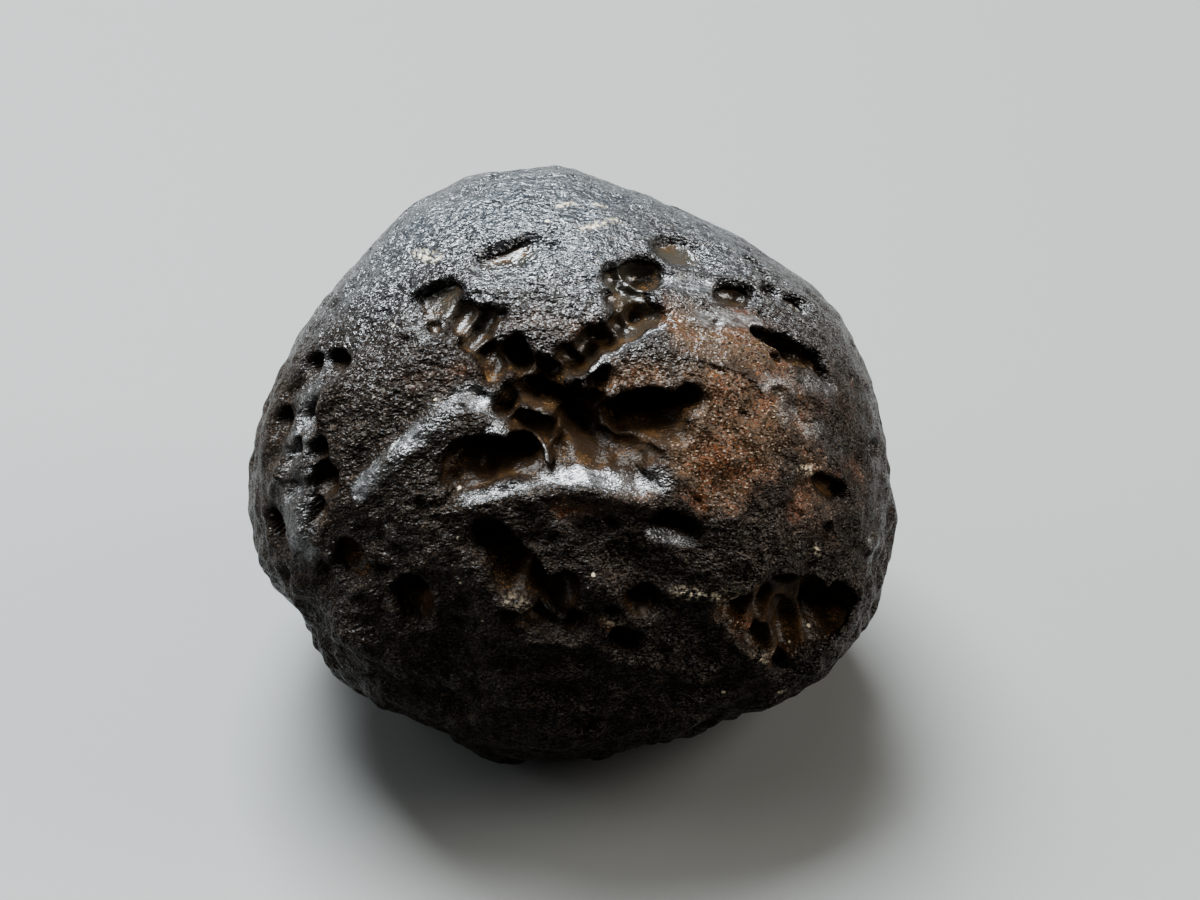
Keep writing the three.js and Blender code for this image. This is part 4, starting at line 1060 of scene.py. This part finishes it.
# %% Relief
grainy_relief = product(fine, ramp(plain_skin, 0.0, 1.0, 0.03, 0.08))
lumpy_relief = product(lumps, ramp(plain_skin, 0.0, 1.0, 0.06, 0.38))
streaky_relief = product(streaks, ramp(polish_and_sheen, 0.0, 1.0, 0.0, 0.07))
relief = maths("ADD", maths("ADD", grainy_relief, lumpy_relief), streaky_relief)
# Both flanks are smoother, as if rubbed.
to_side = maths("ABSOLUTE", node("SeparateXYZ", place).outputs["X"])
relief = less(ramp(to_side, 10.5, 13.0, 0.0, 0.7), relief)
# Heights are in millimetres here, and the bump wants metres.
bump = node("Bump", 1.0, 0.001, None, relief).outputs[0]
rusty_grain = ramp(less(polish_and_sheen, brown_share), 0.0, 1.0, 0.0, 0.55)
unevenness = maths("MAXIMUM", ramp(plain_skin, 0.0, 1.0, 0.10, 0.62), rusty_grain)
tipped = scaled(vectors("SUBTRACT", grains, (0.5, 0.5, 0.5)), unevenness)
normal = vectors("NORMALIZE", vectors("ADD", bump, tipped))
print("relief ready")

# %% Gloss and shader
shine = maths("MAXIMUM", shine, less(ramp(streaks, 0.62, 0.38, 0.0, 0.3), polish_and_sheen))
shine = product(shine, ramp(brown_share, 0.0, 1.0, 1.0, 0.95))
shine = product(shine, ramp(in_pit, 0.0, 1.0, 1.0, 0.6))
roughness = maths("ADD", ramp(polish_and_sheen, 0.0, 1.0, 0.25, 0.27), ramp(in_pit, 0.0, 1.0, 0.0, -0.06))
shader = node("BsdfPrincipled")
for name, value in (("Base Color", colour), ("Roughness", roughness), ("Normal", normal),
                    ("Specular IOR Level", shine)):
    tree.links.new(value, shader.inputs[name])
shader.inputs["IOR"].default_value = 1.5
node("OutputMaterial", shader.outputs[0])
mesh.materials.append(glass)
print("glass:", len(tree.nodes), "nodes")

# %% [markdown]
# ## Floor, lamps and camera
# The stone lies on a plain pale table. One soft lamp, like a window, stands behind it, high and a little
# to the left, so that the brow shines and the pitted lower face falls into shade. Weak lamps at the right
# and the left light the flanks, and a weak wide one overhead keeps the shade open. The table's own colour
# is a darkish grey that the lamps make pale. A lighter one would throw more light up into the shade.

# %% Floor
FLOOR_HALF = 0.7  # metres from the middle to each edge
floor_mesh = bpy.data.meshes.new("floor")
floor_corners = [FLOOR_HALF * Vector(corner) for corner in ((-1, -1, 0), (1, -1, 0), (1, 1, 0), (-1, 1, 0))]
floor_mesh.from_pydata(floor_corners, [], [(0, 1, 2, 3)])
floor = added("floor", floor_mesh)
paper = bpy.data.materials.new("pale_table")
paper.use_nodes = True
paper_inputs = paper.node_tree.nodes["Principled BSDF"].inputs
paper_inputs["Base Color"].default_value = (0.105, 0.105, 0.10, 1)
paper_inputs["Roughness"].default_value = 0.7
floor_mesh.materials.append(paper)
print("floor", 2 * FLOOR_HALF, "m wide")

# %% Lamps
COOL, WARM, NEARLY_WHITE = (0.88, 0.95, 1.0), (1.0, 0.97, 0.92), (0.92, 0.97, 1.0)
# Name, place in metres, width, height, watts, colour.
LAMPS = (
    ("window", (-0.07, 0.12, 0.32), 0.20, 0.20, 7.2, COOL),
    ("right", (0.34, 0.0, 0.20), 0.20, 0.24, 2.6, WARM),
    ("left", (-0.32, -0.02, 0.20), 0.20, 0.24, 1.1, NEARLY_WHITE),
    ("sky", (-0.06, 0.0, 0.50), 0.40, 0.40, 1.0, WARM),
)


def facing(start, end):
    """The turn that makes a lamp or camera at the start look at the end."""
    return (Vector(end) - Vector(start)).to_track_quat("-Z", "Y").to_euler()


def soft_lamp(name, place, width, height, watts, colour):
    """A rectangular lamp that faces the stone's middle."""
    lamp = bpy.data.lights.new(name, "AREA")
    lamp.shape = "RECTANGLE"
    lamp.size = width
    lamp.size_y = height
    lamp.energy = watts
    lamp.color = colour
    holder = added(name, lamp)
    holder.location = place
    holder.rotation_euler = facing(place, MIDDLE / 1000)


for row in LAMPS:
    soft_lamp(*row)
world = bpy.data.worlds.new("studio")
bpy.context.scene.world = world
world.use_nodes = True
background = world.node_tree.nodes["Background"].inputs
background["Color"].default_value = (0.8, 0.85, 0.9, 1)
background["Strength"].default_value = 0.08
print(len(LAMPS), "lamps")

# %% Camera
# The camera is the eye point that the face was sighted from. It aims a little beside the stone's middle.
VIEW_WIDTH = 52.5  # millimetres seen across at the stone's middle
AIM_ACROSS, AIM_UP = 1.27, 0.53
SENSOR = 36
eye = (MIDDLE + SIGHT_DISTANCE * OUT) / 1000
aim = (MIDDLE + AIM_ACROSS * ACROSS + AIM_UP * UP) / 1000
camera = added("camera", bpy.data.cameras.new("camera"))
camera.data.sensor_width = SENSOR
camera.data.lens = SENSOR * SIGHT_DISTANCE / VIEW_WIDTH
camera.data.clip_start = 0.01
bpy.context.scene.view_settings.look = "AgX - Medium High Contrast"
camera.location = eye
camera.rotation_euler = facing(eye, aim)
bpy.context.scene.camera = camera
print("camera at", eye.round(4), "lens", round(camera.data.lens, 1), "mm")
